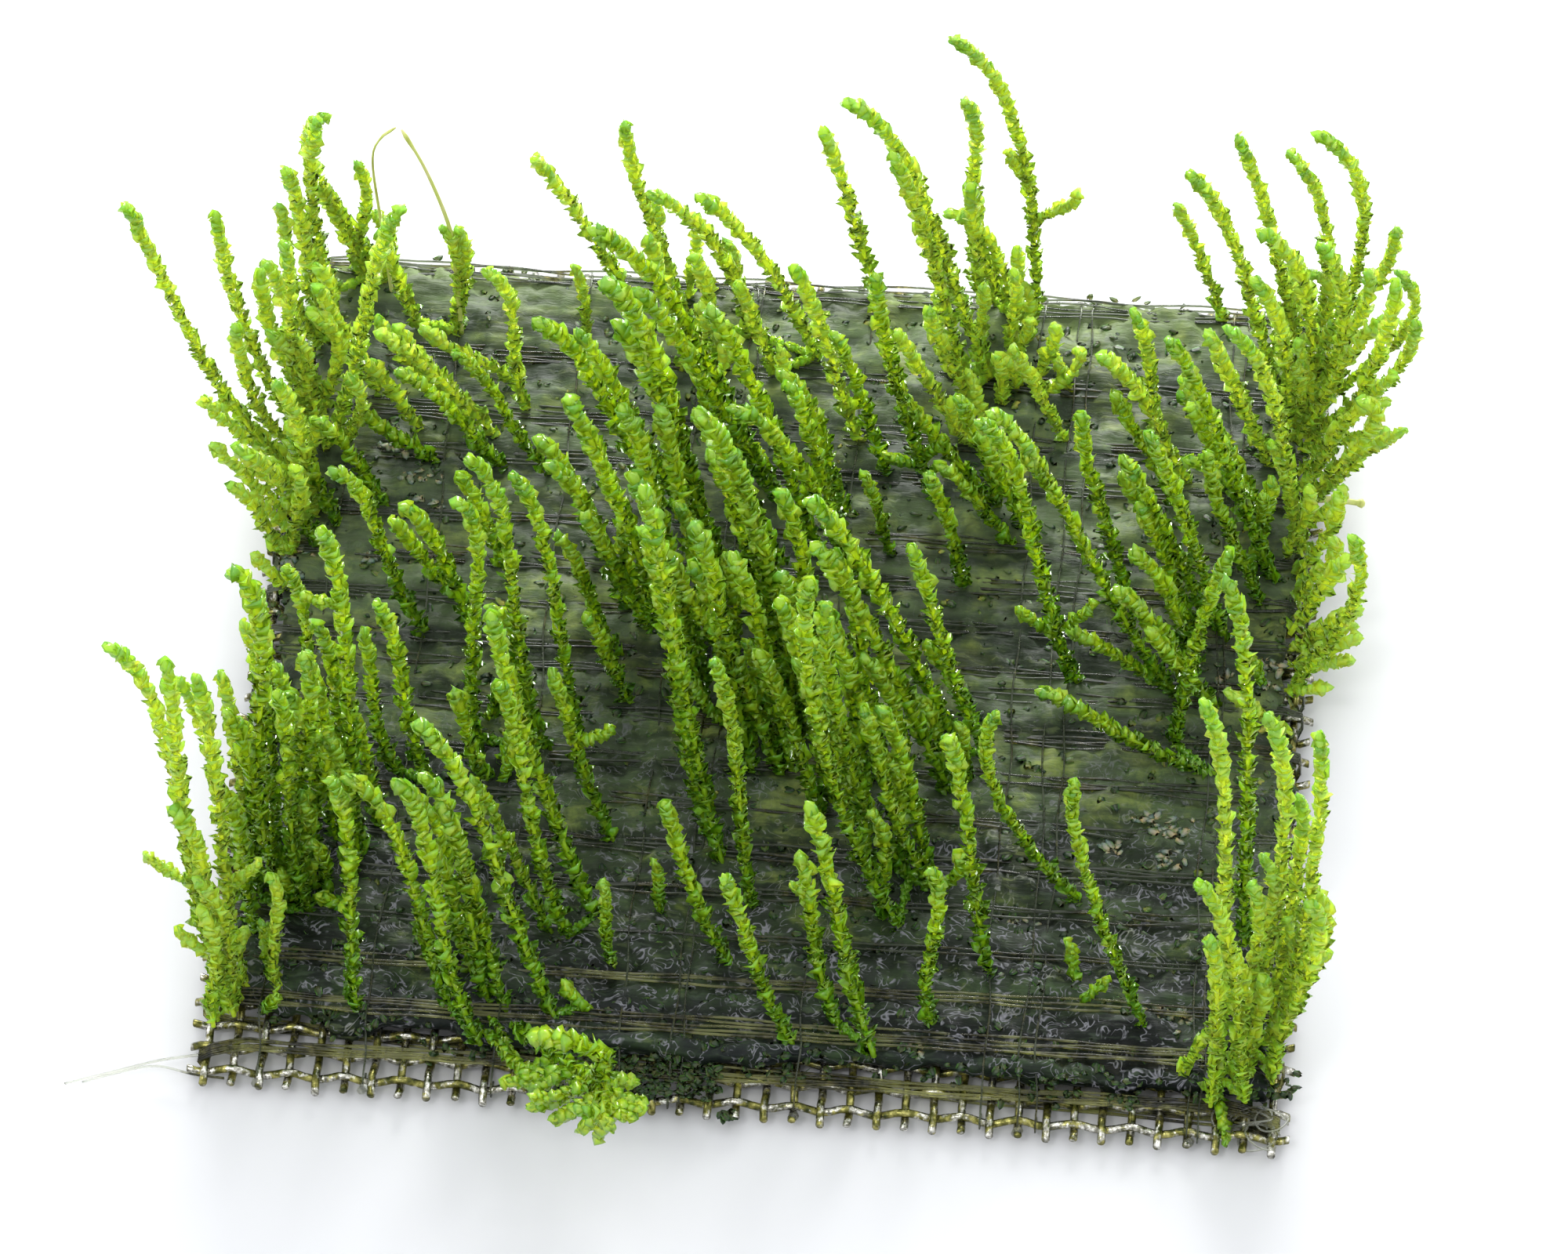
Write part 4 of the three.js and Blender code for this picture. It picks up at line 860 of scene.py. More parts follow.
def placed(tree, group, **values):
    """The group's outputs where it is placed in a material, with its inputs set."""
    made = tree.nodes.new("ShaderNodeGroup")
    made.node_tree = group
    for label, value in values.items():
        feed(tree, value, made.inputs[label])
    return made.outputs


def make_leaf_look():
    """How one leaf differs from the next, with a painted glow at each leaf's foot and painted shade towards
    its tip and rim. Depth is how strongly it does.
    """
    tree, given, out = new_group(
        "leaf_look", [("Tone", COLOUR, (0.3, 0.6, 0.03, 1)), ("Depth", VALUE, 1.0)],
        [("Tone", COLOUR), ("Relief", VALUE), ("Patches", VALUE)],
    )
    _, shade, edge, along = moss_marks(tree)
    patches = noise(tree, 900)
    by_leaf = ramp(tree, shade, (0, (0.62, 0.76, 0.8)), (0.6, 1), (1, (1.12, 1.03, 0.9)))
    by_patch = ramp(tree, patches, (0.3, (0.8, 0.84, 0.7)), (0.7, (1.1, 1.04, 1)))
    # Painted glow at the leaf's foot, where light would pass through, and painted shade towards its tip
    foot_to_tip = ramp(
        tree, along, (0.1, (1.32, 1.14, 0.8)), (0.4, (1.12, 1.04, 1)), (0.9, (0.58, 0.82, 1.0)))
    tone = blend(tree, "MULTIPLY", given["Depth"], given["Tone"], by_leaf)
    tone = blend(tree, "MULTIPLY", 0.6, tone, by_patch)
    tone = blend(tree, "MULTIPLY", given["Depth"], tone, foot_to_tip)
    # Painted shade darkens the leaf's rim
    rim = worked_out(tree, "MULTIPLY", spread(tree, edge, 0.55, 1.0, 0.0, 0.5), given["Depth"])
    tree.links.new(blend(tree, "MIX", rim, tone, (0.15, 0.44, 0.06)), out["Tone"])
    tree.links.new(noise(tree, 4200, detail=2), out["Relief"])
    tree.links.new(patches, out["Patches"])
    return tree


def make_algae_film():
    """Where a film of algae lies on steel and nylon, and its olive to golden tone. Cover runs from 0 to 1."""
    tree, given, out = new_group(
        "algae_film", [("Cover", VALUE, 0.5), ("Scale", VALUE, 700)], [("Film", VALUE), ("Tone", COLOUR)],
    )
    total = worked_out(tree, "ADD", noise(tree, given["Scale"], detail=5), given["Cover"])
    tree.links.new(spread(tree, total, 0.98, 1.06), out["Film"])
    tree.links.new(ramp(
        tree, noise(tree, 2300, detail=4),
        (0.34, (0.02, 0.026, 0.004)), (0.5, (0.11, 0.105, 0.02)), (0.68, (0.4, 0.37, 0.12)),
    ), out["Tone"])
    return tree


leaf_look = make_leaf_look()
algae_film = make_algae_film()


def leaf_material(name, young_to_old, glow, clear, roughness, coat, glassy, depth=1.0, painted_glow=0.0):
    """Thin wet living leaves: they throw back one green, let another through, and shine. Where asked, a
    painted glow makes them give off a little light of their own.
    """
    material, tree, dress = new_material(name)
    growth, _, _, along = moss_marks(tree)
    look = placed(tree, leaf_look, Tone=ramp(tree, growth, *young_to_old), Depth=depth)
    foot_to_tip = ramp(tree, along, (0.1, (1.12, 1.02, 1)), (0.9, (0.75, 0.9, 1.1)))
    let_through = blend(tree, "MULTIPLY", 1.0, ramp(tree, growth, *glow), foot_to_tip)
    dress({
        "Base Color": look["Tone"],
        "Normal": bump(tree, look["Relief"], 0.7, 0.00009),
        "Roughness": spread(tree, look["Patches"], 0.3, 0.7, roughness * 0.7, roughness * 1.3),
        "Coat Weight": coat, "Coat Roughness": 0.08, "Transmission Weight": glassy, "IOR": 1.36,
    })
    # Painted glow: the leaves give off a little light of their own, as though lit from behind
    if painted_glow:
        dress({"Emission Color": let_through, "Emission Strength": painted_glow})
        material.cycles.emission_sampling = "NONE"
    through = tree.nodes.new("ShaderNodeBsdfTranslucent")
    tree.links.new(let_through, through.inputs["Color"])
    mix = tree.nodes.new("ShaderNodeMixShader")
    mix.inputs[0].default_value = clear
    tree.links.new(tree.nodes["Principled BSDF"].outputs[0], mix.inputs[1])
    tree.links.new(through.outputs[0], mix.inputs[2])
    tree.links.new(mix.outputs[0], tree.nodes["Material Output"].inputs["Surface"])
    return material


def stalk_material():
    """Thin dry stalks, yellow-green to tan, with faint streaks along them."""
    material, tree, dress = new_material("dry_stalk")
    streaks = noise(tree, 1500, detail=4, stretch=(1, 1, 0.2))
    dress({
        "Base Color": ramp(
            tree, streaks, (0.3, (0.3, 0.3, 0.06)), (0.5, (0.55, 0.6, 0.16)), (0.7, (0.66, 0.6, 0.3))),
        "Roughness": spread(tree, streaks, 0.3, 0.7, 0.35, 0.6),
        "Normal": bump(tree, streaks, 0.4, 0.00004),
    })
    return material


def steel_material():
    """Drawn steel wire, speckled dark and bright, with a golden film of algae over much of it."""
    material, tree, dress = new_material("woven_steel")
    film = placed(tree, algae_film, Cover=0.54, Scale=1500)
    grain = noise(tree, 5000, detail=3)
    metal = ramp(
        tree, grain, (0.32, (0.08, 0.08, 0.06)), (0.5, (0.34, 0.33, 0.28)), (0.66, (0.8, 0.79, 0.74)))
    dress({
        "Base Color": blend(tree, "MIX", film["Film"], metal, film["Tone"]),
        "Metallic": spread(tree, film["Film"], 0, 1, 1.0, 0.75),
        "Roughness": spread(tree, grain, 0.3, 0.7, 0.14, 0.34),
        "Normal": bump(tree, grain, 0.5, 0.00004),
    })
    return material


def nylon_material(name, tint, cover):
    """Clear nylon with faint streaks along it, and a film of algae in places."""
    material, tree, dress = new_material(name)
    streaks = noise(tree, 2500, detail=4, stretch=(0.15, 1, 1))
    film = placed(tree, algae_film, Cover=cover, Scale=420)
    clear = ramp(tree, streaks, (0.3, [0.75 * part for part in tint]), (0.7, tint))
    dress({
        "Base Color": blend(tree, "MIX", film["Film"], clear, film["Tone"]),
        "Roughness": spread(tree, streaks, 0.3, 0.7, 0.2, 0.36),
        "Normal": bump(tree, streaks, 0.2, 0.00002),
        "Transmission Weight": 0.95, "IOR": 1.4, "Specular IOR Level": 0.2,
    })
    return material


def mat_material():
    """The wet pressed mass under the leaves: dark green with olive patches and bands and short pale strokes
    along the thread, darker towards the front, with a painted sheen that lightens it towards the back, and at
    the front fine curls of painted highlight where the rims of pressed leaves would catch the light."""
    material, tree, dress = new_material("wet_mat")
    from_front = spread(tree, along_axis(tree, "Y"), -0.024, 0.024)
    patches = noise(tree, 380, detail=6, roughness=0.65)
    fine = noise(tree, 3000, detail=5, stretch=(0.14, 1, 1))
    bands = noise(tree, 620, detail=2, stretch=(0.07, 1, 1), shift=9)
    # The patches shift darker towards the front
    shifted = blend(tree, "ADD", 1.0, patches, spread(tree, from_front, 0.05, 0.4, -0.14, 0.0))
    tone = ramp(
        tree, shifted, (0.3, (0.003, 0.004, 0.005)), (0.5, (0.008, 0.015, 0.006)),
        (0.62, (0.04, 0.052, 0.012)), (0.8, (0.085, 0.09, 0.02)))
    tone = blend(tree, "MULTIPLY", 0.8, tone, ramp(tree, fine, (0.3, 0.35), (0.7, (1.9, 1.9, 1.6))))
    dark_to_pale = ramp(tree, bands, (0.4, (0.3, 0.32, 0.3)), (0.6, (1.9, 1.9, 1.7)))
    tone = blend(tree, "MULTIPLY", 0.9, tone, dark_to_pale)
    # Painted sheen: the mat is made lighter towards the back, where light grazes it
    painted_sheen_to_back = ramp(
        tree, from_front, (0.0, (0.0, 0.0, 0.001)), (0.4, (0.021, 0.028, 0.015)),
        (0.94, (0.052, 0.068, 0.039)), (0.99, (0.08, 0.105, 0.045)))
    by_band = ramp(tree, bands, (0.4, (0.4, 0.42, 0.42)), (0.6, (1.6, 1.55, 1.4)))
    tone = blend(tree, "ADD", 1.0, tone, blend(tree, "MULTIPLY", 0.9, painted_sheen_to_back, by_band))
    strokes = spread(tree, noise(tree, 2600, detail=3, stretch=(0.22, 1, 1), shift=5), 0.56, 0.66, 0, 0.4)
    pale = ramp(tree, shifted, (0.4, (0.05, 0.07, 0.045)), (0.65, (0.17, 0.2, 0.05)))
    tone = blend(tree, "MIX", strokes, tone, pale)
    # Painted highlights: thin lilac-grey curls where the rims of pressed leaves would catch the light, in
    # patches near the front
    curls = ramp(tree, noise(tree, 1000, detail=1.5, warp=1.8), (0.46, 0), (0.5, 1), (0.54, 0))
    wet = ramp(tree, noise(tree, 1300, detail=2, shift=3), (0.44, 0), (0.54, 1))
    in_front = ramp(tree, from_front, (0.22, 1), (0.5, 0.1))
    curls = blend(tree, "MULTIPLY", 1.0, curls, blend(tree, "MULTIPLY", 1.0, wet, in_front))
    painted_curl_highlight = ramp(tree, shifted, (0.45, (0.165, 0.165, 0.185)), (0.65, (0.14, 0.16, 0.06)))
    dress({
        "Base Color": blend(tree, "MIX", curls, tone, painted_curl_highlight),
        "Roughness": spread(tree, fine, 0.3, 0.7, 0.36, 0.56),
        "Normal": bump(tree, fine, 0.8, 0.00012),
        "Specular IOR Level": 0.1,
    })
    return material


leaf_green = leaf_material(
    "leaf_green",
    [(0.0, (0.24, 0.54, 0.03)), (0.35, (0.44, 0.77, 0.04)), (0.7, (0.6, 0.87, 0.06)),
     (0.87, (0.64, 0.9, 0.1)), (0.98, (0.38, 0.7, 0.08))],
    [(0.0, (0.62, 0.88, 0.05)), (0.5, (0.8, 0.95, 0.07)), (0.87, (0.84, 0.96, 0.12)),
     (0.98, (0.6, 0.84, 0.1))],
    clear=0.44, roughness=0.12, coat=0.9, glassy=0.42, depth=0.95,
)
# A paler copy of the green leaves, with painted light and a painted glow, for leaves that stand in the light
leaf_painted_lit = leaf_material(
    "leaf_painted_lit",
    [(0.0, (0.5, 0.88, 0.09)), (0.4, (0.66, 0.95, 0.12)), (0.85, (0.7, 0.96, 0.18)),
     (0.97, (0.44, 0.78, 0.12))],
    [(0.0, (0.8, 0.96, 0.12)), (0.5, (0.88, 0.98, 0.15)), (0.85, (0.9, 0.98, 0.2)),
     (0.97, (0.66, 0.88, 0.16))],
    clear=0.6, roughness=0.13, coat=0.9, glassy=0.35, depth=0.65, painted_glow=0.09,
)
# Its palest tone, at growth 1, is painted light for the patches where the floor shows through the mat
pressed_green = leaf_material(
    "pressed_green",
    [(0.0, (0.034, 0.048, 0.024)), (0.4, (0.05, 0.07, 0.022)), (0.75, (0.15, 0.18, 0.03)),
     (0.92, (0.3, 0.32, 0.06)), (1.0, (0.25, 0.24, 0.18))],
    [(0.0, (0.03, 0.04, 0.02)), (0.6, (0.12, 0.16, 0.03)), (0.92, (0.5, 0.5, 0.08)), (1.0, (0.5, 0.47, 0.4))],
    clear=0.2, roughness=0.45, coat=0.0, glassy=0.0,
)
dry_stalk = stalk_material()
woven_steel = steel_material()
wet_nylon = nylon_material("wet_nylon", (0.2, 0.24, 0.14), 0.46)
stained_nylon = nylon_material("stained_nylon", (0.68, 0.69, 0.26), 0.52)
clear_nylon = nylon_material("clear_nylon", (0.86, 0.88, 0.78), 0.4)
wet_mat = mat_material()


# The woven mesh


def model_wire():
    """One wire of the mesh along X, with its cut ends, not yet crimped."""
    bpy.ops.object.select_all(action="DESELECT")
    bpy.ops.mesh.primitive_cylinder_add(
        vertices=WIRE_SIDES, radius=WIRE_RADIUS, depth=2 * WIRE_TIP, rotation=(0, math.pi / 2, 0))
    wire = bpy.context.object
    bpy.ops.object.transform_apply(rotation=True)
    bpy.ops.object.mode_set(mode="EDIT")
    choose(wire, "edges", lambda e: abs(e.verts[0].co.x - e.verts[1].co.x) > WIRE_TIP)
    bpy.ops.mesh.subdivide(number_cuts=(WIRES_A_SIDE + 1) * STEPS_A_PITCH - 1)
    choose(wire, "faces", lambda f: abs(f.normal.x) > 0.9)
    bpy.ops.mesh.inset(thickness=CUT_BEVEL)
    bpy.ops.transform.resize(value=(1.0015, 1, 1))
    return taken_apart(wire)


def woven_wires(name, lengthways, seed):
    """All the wires that run one way, each crimped over and under the ones that it crosses."""
    rng = np.random.default_rng(seed)
    straight, faces = model_wire()
    if lengthways:
        faces = [face[::-1] for face in faces]
    wires = []
    for number in range(WIRES_A_SIDE):
        points = straight.copy()
        at_end = np.abs(points[:, 0]) > LAST_WIRE + 0.4
        points[:, 0] += np.sign(points[:, 0]) * rng.uniform(CUT_SHORT, CUT_LONG) * at_end
        first_over = (number % 2 == 0) == lengthways
        crimp = CRIMP * np.cos((points[:, 0] + LAST_WIRE) / WIRE_PITCH * math.pi)
        points[:, 2] += MESH_MIDDLE + (crimp if first_over else -crimp)
        points[:, 1] += number * WIRE_PITCH - LAST_WIRE + drift(points[:, 0], rng, WIRE_WANDER)
        wires.append((points[:, [1, 0, 2]] if lengthways else points, faces))
    piece = make_piece(name, *joined(wires), woven_steel)
    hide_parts("wire_mesh")
    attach(piece, "root")


woven_wires("wires_front_to_back", True, 11)
woven_wires("wires_side_to_side", False, 12)


# The thread


def gap_place(bundle):
    """How far back the gap lies that the bundle drops into at the sides."""
    return (BUNDLES[bundle][0] - 0.5) * WIRE_PITCH - LAST_WIRE


def bundle_place(bundle):
    """How far back the bundle lies in between."""
    return gap_place(bundle) + BUNDLES[bundle][2]


def wound_filament(bundle, place, rng):
    """One turn of thread: up the left edge, over the mat, down the right edge and back underneath to where
    the next bundle starts."""
    after = min(bundle + 1, len(BUNDLES) - 1)
    top = MAT_TOP - SUNK - SUNK * (bundle > SUNK_AFTER) if bundle else FIRST_BUNDLE_TOP
    front = bundle_place(bundle) + place * (FILAMENT_SPREAD if bundle else 1)
    beneath = bundle_place(after) + place
    leg, next_leg = gap_place(bundle) + place, gap_place(after) + place
    spots = np.linspace(-RUN_END, RUN_END, 46)
    fade = np.clip((23.9 - np.abs(spots)) / 2.5, 0, 1)
    run = np.column_stack([
        spots,
        front + fade * drift(spots, rng, 0.24 if bundle > STRAIGHT_BUNDLES else 0.14, (38, 17, 6)),
        top + fade * (drift(spots, rng, 0.05, (11, 5, 2.3)) + 0.02),
    ])
    slanted = front + (beneath - front) * (spots + RUN_END) / (2 * RUN_END)
    under = np.column_stack([
        -spots,
        slanted + fade * drift(spots, rng, 0.1, (30, 13)),
        UNDERSIDE + fade * drift(spots, rng, 0.035, (12, 5)),
    ])
    # How far out and how high the turn runs at either side, from the top down
    side = [(24.2, top - 0.02), (SIDE_RUN, top - 0.5), (SIDE_RUN, 0.5), (24.15, LEG_FOOT)]
    left = [(-out, leg, height) for out, height in reversed(side)]
    right = [(out, leg, height) for out, height in side]
    return smooth_line(np.vstack([left, run[1:-1], right, under[1:-1], [(-24.1, next_leg, LEG_FOOT)]]), 120)


def wound_thread():
    """Every turn of the thread, bundle by bundle."""
    rng = np.random.default_rng(21)
    turns = []
    for bundle, (_, filaments, _) in enumerate(BUNDLES):
        for number in range(filaments):
            place = (number - (filaments - 1) / 2) * FILAMENT_PITCH
            turns.append(tube(wound_filament(bundle, place, rng), FILAMENT_RADIUS, FILAMENT_SIDES))
    return turns


def lengthways_threads():
    """Single filaments from front to back over the mat, caught round the first and last cross wire."""
    rng = np.random.default_rng(22)
    runs = []
    spots = np.linspace(-21.8, 23.2, 50)
    for right in LENGTHWAYS:
        across = right + drift(spots, rng, 0.25, (40, 18, 7))
        run = np.column_stack([across, spots, MAT_TOP + drift(spots, rng, 0.07, (9, 4, 2.1))])
        front = [(-23.4, 0.16), (-24.3, 0.3), (-24.52, 0.75), (-24.2, 1.16), (-23.0, 1.3)]
        back = [(24.2, 1.7), (24.5, 0.8), (24.2, 0.25), (23.2, 0.16)]
        path = [(right, *spot) for spot in front] + run.tolist() + [(right, *spot) for spot in back]
        runs.append(tube(smooth_line(path, 100), FILAMENT_RADIUS * 0.8, FILAMENT_SIDES))
    return runs


def loose_ends():
    """The free tail of two strands, the clear beads at the front, and the tangle at the right corner."""
    rng = np.random.default_rng(23)
    parts = []
    for points, thick, thin in ((TAIL_POINTS, 0.07, 0.05), (SECOND_TAIL_POINTS, 0.065, 0.045)):
        parts.append(tube(smooth_line(points, 24), np.linspace(thick, thin, 24), FILAMENT_SIDES))
    spots = np.linspace(-0.5, 0.5, 9)
    for right in BEADS:
        bead = np.column_stack([right + spots * 0.4, np.full(9, -24.62), 0.62 + spots * 0.5])
        parts.append(tube(bead, 0.02 + 0.2 * np.sqrt(np.clip(1 - (2 * spots)**2, 0, 1)), 10))
    for number in range(9):
        turn = np.linspace(0, rng.uniform(3.5, 7), 26)
        middle = np.array([rng.uniform(22.2, 24.2), rng.uniform(-24.3, -23.2), rng.uniform(0.6, 1.5)])
        wide, tall = rng.uniform(0.4, 1.1), rng.uniform(0.3, 0.8)
        loop = middle + np.column_stack([
            wide * np.cos(turn), tall * np.sin(turn) - 0.1, 0.3 * np.sin(turn * 1.4 + number) + 0.1,
        ])
        parts.append(tube(loop, 0.045, FILAMENT_SIDES))
    return parts


wound, lengthways, loose = wound_thread(), lengthways_threads(), loose_ends()
thread = make_piece(
    "nylon_filaments", *joined(wound + lengthways + loose), wet_nylon, stained_nylon, clear_nylon)
in_front = sum(filaments for _, filaments, _ in BUNDLES[:STAINED_BUNDLES])
looks = [1] * in_front + [0] * (len(wound) - in_front + len(lengthways)) + [2] * len(loose)
thread.data.polygons.foreach_set("material_index", np.repeat(
    looks, [len(faces) for _, faces in wound + lengthways + loose]))
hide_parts("nylon_thread")
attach(thread, "root")


# The mat


def mat_edge():
    """The mat's outline, with points every half millimetre that wander in and out."""
    rng = np.random.default_rng(31)
    corners = np.array(MAT_OUTLINE + MAT_OUTLINE[:1])
    line = evenly(np.column_stack([corners, np.zeros(len(corners))]), 380)[:-1]
    spots = np.arange(len(line)) * 0.5
    line[:, 0] += drift(spots, rng, 0.3, (7.1, 3.3, 1.4))
    line[:, 1] += drift(spots, rng, 0.3, (8.3, 3.9, 1.3))
    return np.clip(line, -MAT_LIMIT, MAT_LIMIT)


def under_thread(y, half, half_a_filament=0.0):
    """Whether a place lies under one of the bundles that are sunk in the mat. Half is half a bundle's width,
    or what it comes to before each filament adds its own."""
    return np.any([
        np.abs(y - bundle_place(bundle)) < half + half_a_filament * BUNDLES[bundle][1]
        for bundle in range(1, len(BUNDLES))
    ], axis=0)


def lumps(x, y, seed=32):
    """How far the mat's surface rises and falls, the same wherever it is asked for."""
    rng = np.random.default_rng(seed)
    total = np.zeros(len(x))
    for wave in np.repeat((5.0, 2.9, 1.9, 1.3, 0.9, 0.7), 3):
        angle, phase = any_angle(rng), any_angle(rng)
        total += wave**0.5 * np.sin((x * math.cos(angle) + y * math.sin(angle)) * FULL_TURN / wave + phase)
    return total * 0.035


def mat_height(x, y):
    """The height of the mat's top, which is lumpy and pressed in under the bundles of thread."""
    pressed = np.where(y < bundle_place(SUNK_AFTER) + 1, 0.2, 0.12)
    return MAT_SKIN + lumps(x, y) - pressed * under_thread(y, 0.2, 0.07)


def pressed_mat():
    """The pressed mass of the mat: its outline raised to a slab, and made lumpy above and below."""
    edge = mat_edge() * (1, 1, 0) + (0, 0, MAT_BOTTOM)
    mat = make_piece("pressed_mat", edge, [tuple(range(len(edge)))])
    bpy.ops.object.select_all(action="DESELECT")
    mat.select_set(True)
    bpy.context.view_layer.objects.active = mat
    bpy.ops.object.mode_set(mode="EDIT")
    bpy.ops.mesh.select_all(action="SELECT")
    bpy.ops.mesh.extrude_region_move(TRANSFORM_OT_translate={"value": (0, 0, (MAT_SKIN - MAT_BOTTOM) * MM)})
    bpy.ops.mesh.select_all(action="SELECT")
    bpy.ops.mesh.normals_make_consistent(inside=False)
    bpy.ops.object.mode_set(mode="OBJECT")
    remesh = mat.modifiers.new("even", "REMESH")
    remesh.mode = "VOXEL"
    remesh.voxel_size = 0.3 * MM
    bpy.ops.object.modifier_apply(modifier="even")
    places = np.zeros(len(mat.data.vertices) * 3)
    mat.data.vertices.foreach_get("co", places)
    places = places.reshape(-1, 3) / MM
    x, y = places[:, 0], places[:, 1]
    high = places[:, 2] > (MAT_TOP + MAT_BOTTOM) / 2
    places[:, 2] += np.where(high, mat_height(x, y) - MAT_SKIN, 0.5 * lumps(x, y, 33) - 0.05)
    mat.data.vertices.foreach_set("co", (places * MM).ravel())
    mat.data.update()
    mat.data.shade_smooth()
    mat.data.materials.append(wet_mat)
    return mat


def inside_mat(x, y):
    """Whether each place is inside the mat's outline."""
    edge = np.array(MAT_OUTLINE)
    inside = np.zeros(len(x), bool)
    for (x0, y0), (x1, y1) in zip(edge, np.roll(edge, -1, axis=0)):
        crosses = (y0 > y) != (y1 > y)
        with np.errstate(divide="ignore", invalid="ignore"):
            inside ^= crosses & (x < (x1 - x0) * (y - y0) / (y1 - y0) + x0)
    return inside


def scattered_leaves(name, places, rng, sizes, growth, lean):
    """Pressed leaves lying every way at the given places."""
    count = len(places)
    turn = rng.uniform(0, 2 * math.pi, count)
    along = np.column_stack([np.cos(turn), np.sin(turn), np.zeros(count)])
    pitch, roll = rng.normal(0, lean, count), rng.normal(0, lean * 1.3, count)
    across = np.cross(along, (0, 0, 1))
    along, up = turned(along, np.tile((0.0, 0.0, 1.0), (count, 1)), pitch)
    across, up = turned(across, up, roll)
    leaves = Leaves()
    opened, shade = rng.uniform(0, 0.6, count), rng.uniform(0, 1, count)
    leaves.add(places, (across, along, up), sizes, opened, growth, shade)
    return leaves.piece(name, pressed_green, pressed_shape, bud_shape, pressed_faces)


def mat_leaves():
    """The small curled leaves pressed into the top of the mat, green ones and patches of pale ones that paint
    the light showing through openings in the mat.
    """
    rng = np.random.default_rng(34)
    x, y = rng.uniform(-24, 24, MAT_TRIES), rng.uniform(-23, 22.6, MAT_TRIES)
    keep = inside_mat(x, y) & ~(under_thread(y, 0.3) & (rng.uniform(0, 1, MAT_TRIES) < 0.75))
    x, y = x[keep][:MAT_LEAVES], y[keep][:MAT_LEAVES]
    growth = np.clip(rng.exponential(0.24, len(x)), 0, 0.9) * np.interp(y, [-22, -8], [0.3, 1])
    # Pale leaves painted where light from the floor shows through openings in the mat
    for right, back, wide, deep in PAINTED_LIGHT_PATCHES:
        count = round(45 * wide * deep) + 5
        x = np.append(x, rng.normal(right, 0.6 * wide, count))
        y = np.append(y, rng.normal(back, 0.6 * deep, count))
        growth = np.append(growth, np.ones(count))
    z = mat_height(x, y) + rng.uniform(-0.07, 0.0, len(x)) + 0.07 * (growth == 1)
    return scattered_leaves(
        "mat_leaves", np.column_stack([x, y, z]), rng, rng.uniform(0.35, 0.7, len(x)), growth, 0.07)


def fringe_leaves():
    """The leaves that stick out round the mat's edge, and those that hang over the front wire."""
    rng = np.random.default_rng(35)
    edge = mat_edge()
    chosen = edge[rng.integers(0, len(edge), EDGE_LEAVES)]
    x = np.clip(chosen[:, 0] + rng.normal(0, 0.3, EDGE_LEAVES), -24.6, 24.6)
    y = np.clip(chosen[:, 1] + rng.normal(0, 0.3, EDGE_LEAVES), -23.2, 24.6)
    round_edge = np.column_stack([x, y, rng.uniform(1.1, 2.1, EDGE_LEAVES)])
    right, out, up = rng.uniform(0, 1, (OVERHANGING_LEAVES, 3)).T
    over_front = np.column_stack([-8.4 + 7.6 * right, -22.2 - 2.1 * out, 1.3 - 0.2 * out + 0.15 * up])
    clumps = [rng.normal(middle, reach, (number, 3)) for middle, reach, number in FRINGE_CLUMPS]
    places = np.vstack([round_edge, over_front, *clumps])
    y = places[:, 1]
    places[y > 22, 2] = np.minimum(places[y > 22, 2], 1.7)
    growth = rng.uniform(0, 0.75, len(y)) * np.where(y < -21, 0.5, 1.0)
    growth = np.where(y > 22, 0.4 + 0.3 * growth, growth)
    return scattered_leaves("fringe_leaves", places, rng, rng.uniform(0.35, 0.6, len(y)), growth, 0.3)


for mat_piece in (pressed_mat(), mat_leaves(), fringe_leaves()):
    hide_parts("moss_mat")
    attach(mat_piece, "root")


# The shoots


for number, (tuft_name, tuft_rows) in enumerate(TUFTS.items()):
    leafy_tuft(tuft_name + "_leaves", read_shoots(tuft_rows), 100 + number)


def small_sprigs(name, lit, seed):
    """The sprigs that stand in the light, or those that don't."""
    rng = np.random.default_rng(seed)
    leaves = Leaves()
    for root, way, look in read_shoots(SPRIGS):
        if in_the_light(root) == lit:
            grow_shoot(leaves, root, way, look, rng, base=SHOOT_BASE - 0.1)
    piece = leaves.piece(name, leaf_painted_lit if lit else leaf_green)
    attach(piece, "root")


small_sprigs("sprigs_in_the_light", True, 41)
small_sprigs("sprigs_between_shoots", False, 42)


def dry_stalks():
    """The thin dry stalks, without leaves, each with a small blunt swelling at its tip."""
    parts = []
    for points, foot, tip in DRY_STALKS:
        radii = np.linspace(foot, tip, 30)
        radii[-3:] = tip * np.array([1.5, 1.7, 0.8])
        parts.append(tube(smooth_line(points, 30), radii, 8))
    piece = make_piece("dry_stalks", *joined(parts), dry_stalk)
    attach(piece, "root")


dry_stalks()


# Floor, light and camera


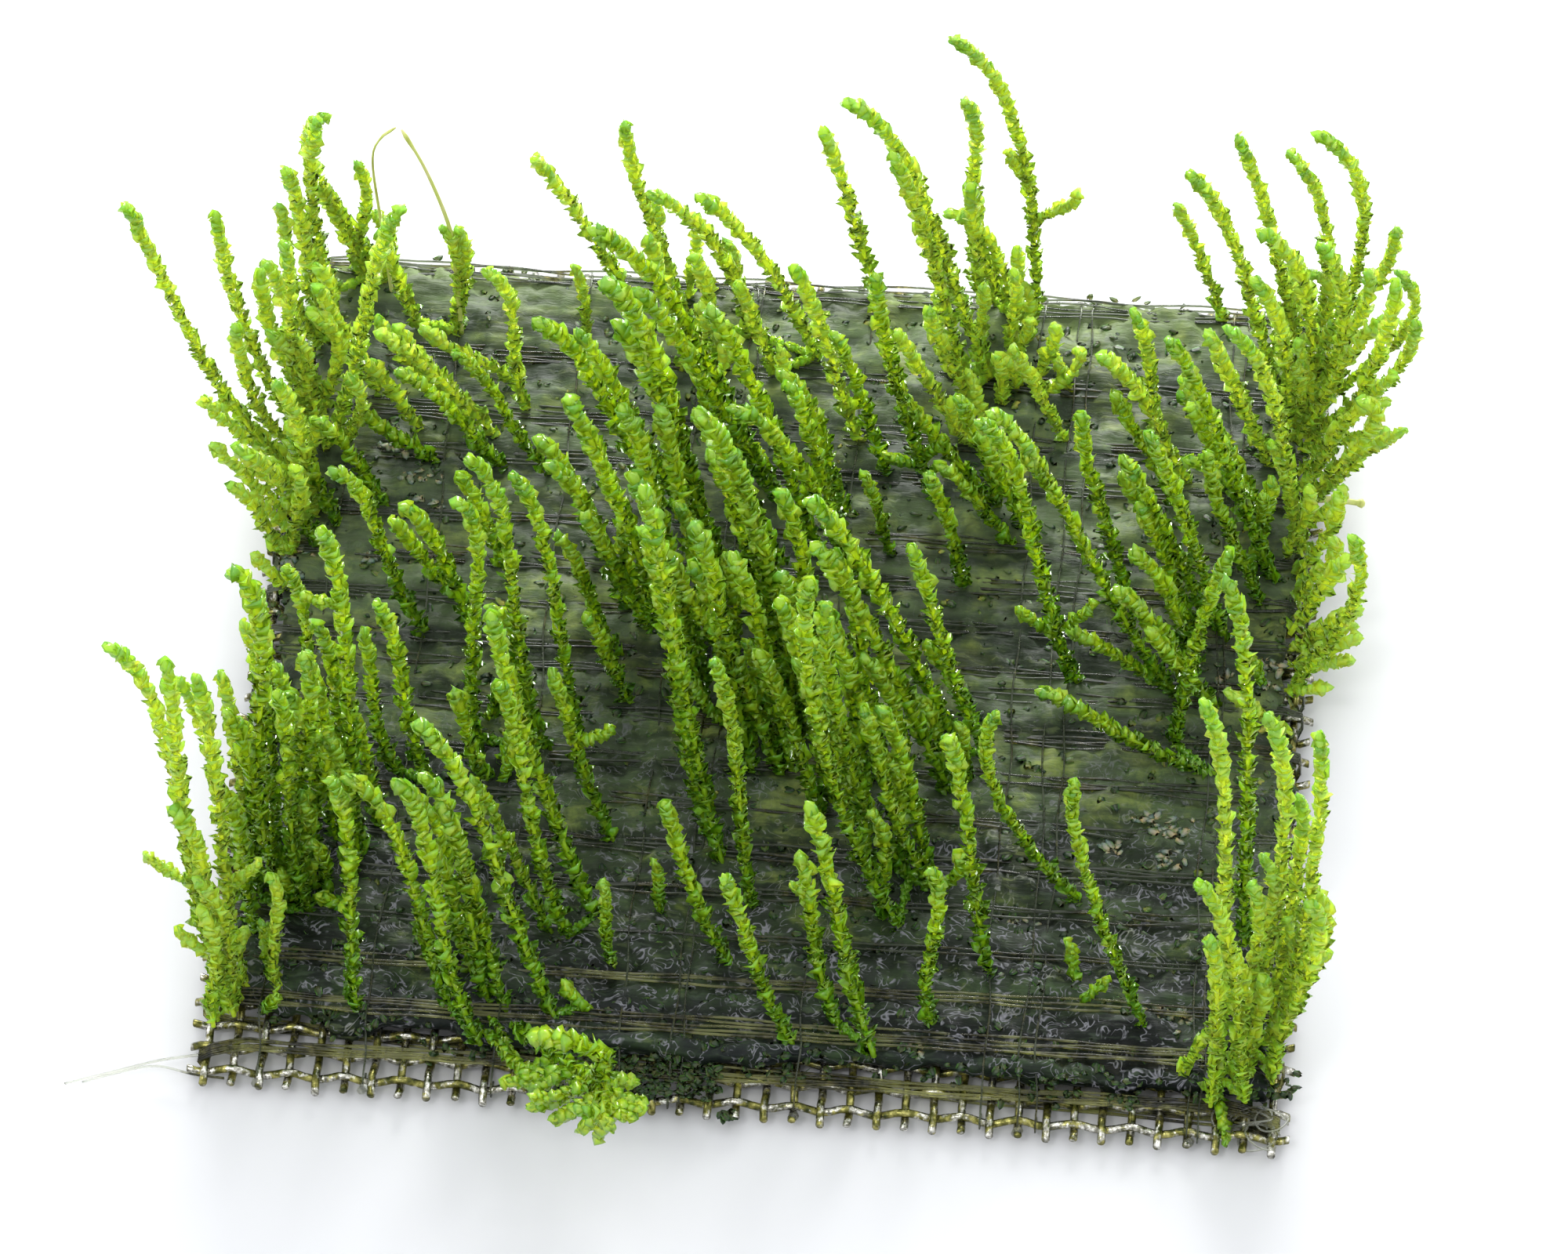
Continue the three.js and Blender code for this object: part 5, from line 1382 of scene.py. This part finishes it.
def tent_light():
    """White cloth all round the pad, brightest overhead and behind it."""
    world = bpy.data.worlds.new("white_tent")
    bpy.context.scene.world = world
    world.use_nodes = True
    tree = world.node_tree
    up = along_axis(tree, "Z", "Generated")
    height = ramp(tree, up, (0, (0.7, 0.71, 0.72)), (0.5, (0.9, 0.92, 0.94)), (1, (0.96, 0.98, 1)))
    behind = spread(tree, along_axis(tree, "Y", "Generated"), -1, 1, 0.8, 1.0)
    sky = tree.nodes["Background"]
    tree.links.new(blend(tree, "MULTIPLY", 1.0, height, behind), sky.inputs["Color"])
    sky.inputs["Strength"].default_value = 1.95


def lamp(name, place, size, power):
    """A soft box that shines on the pad."""
    light = bpy.data.lights.new(name, "AREA")
    light.size, light.energy = size, power
    box = bpy.data.objects.new(name, light)
    box.location = place
    box.rotation_euler = (-Vector(place)).to_track_quat("-Z", "Y").to_euler()
    bpy.context.scene.collection.objects.link(box)


def pale_floor():
    """A white floor, with painted shade that makes it a little greyer in front of the pad and lighter behind
    it.
    """
    bpy.ops.object.select_all(action="DESELECT")
    bpy.ops.mesh.primitive_plane_add(size=4, location=(0, 0, 0))
    floor = bpy.context.object
    floor.name = "floor"
    material, tree, dress = new_material("white_floor")
    from_front = spread(tree, along_axis(tree, "Y"), -0.03, 0.01)
    # Painted shade and light: darker in front of the pad, lighter behind it
    white = ramp(tree, from_front, (0, (0.51, 0.51, 0.525)), (1, (0.56, 0.56, 0.57)))
    dress({"Base Color": white, "Roughness": 0.6})
    floor.data.materials.append(material)


def photo_camera():
    """The camera at the photograph's viewing angle."""
    turn, rise = math.radians(4.6), math.radians(50.9)
    target, reach = Vector((-0.13, 4.21, 0)) * MM, 400 * MM
    back = Vector((math.sin(turn) * math.cos(rise), -math.cos(turn) * math.cos(rise), math.sin(rise)))
    lens = bpy.data.cameras.new("camera")
    lens.lens, lens.sensor_width = 194.4, 36
    lens.clip_start = 0.01
    camera = bpy.data.objects.new("camera", lens)
    camera.location = target + back * reach
    camera.rotation_euler = back.to_track_quat("Z", "Y").to_euler()
    bpy.context.scene.collection.objects.link(camera)
    bpy.context.scene.camera = camera


pale_floor()
tent_light()
lamp("back_box", (0.0, 0.55, 0.24), 0.3, 6.5)
lamp("glint_box", (-0.22, -0.3, 0.55), 0.12, 0.8)
photo_camera()
bpy.context.scene.view_settings.view_transform = "Standard"
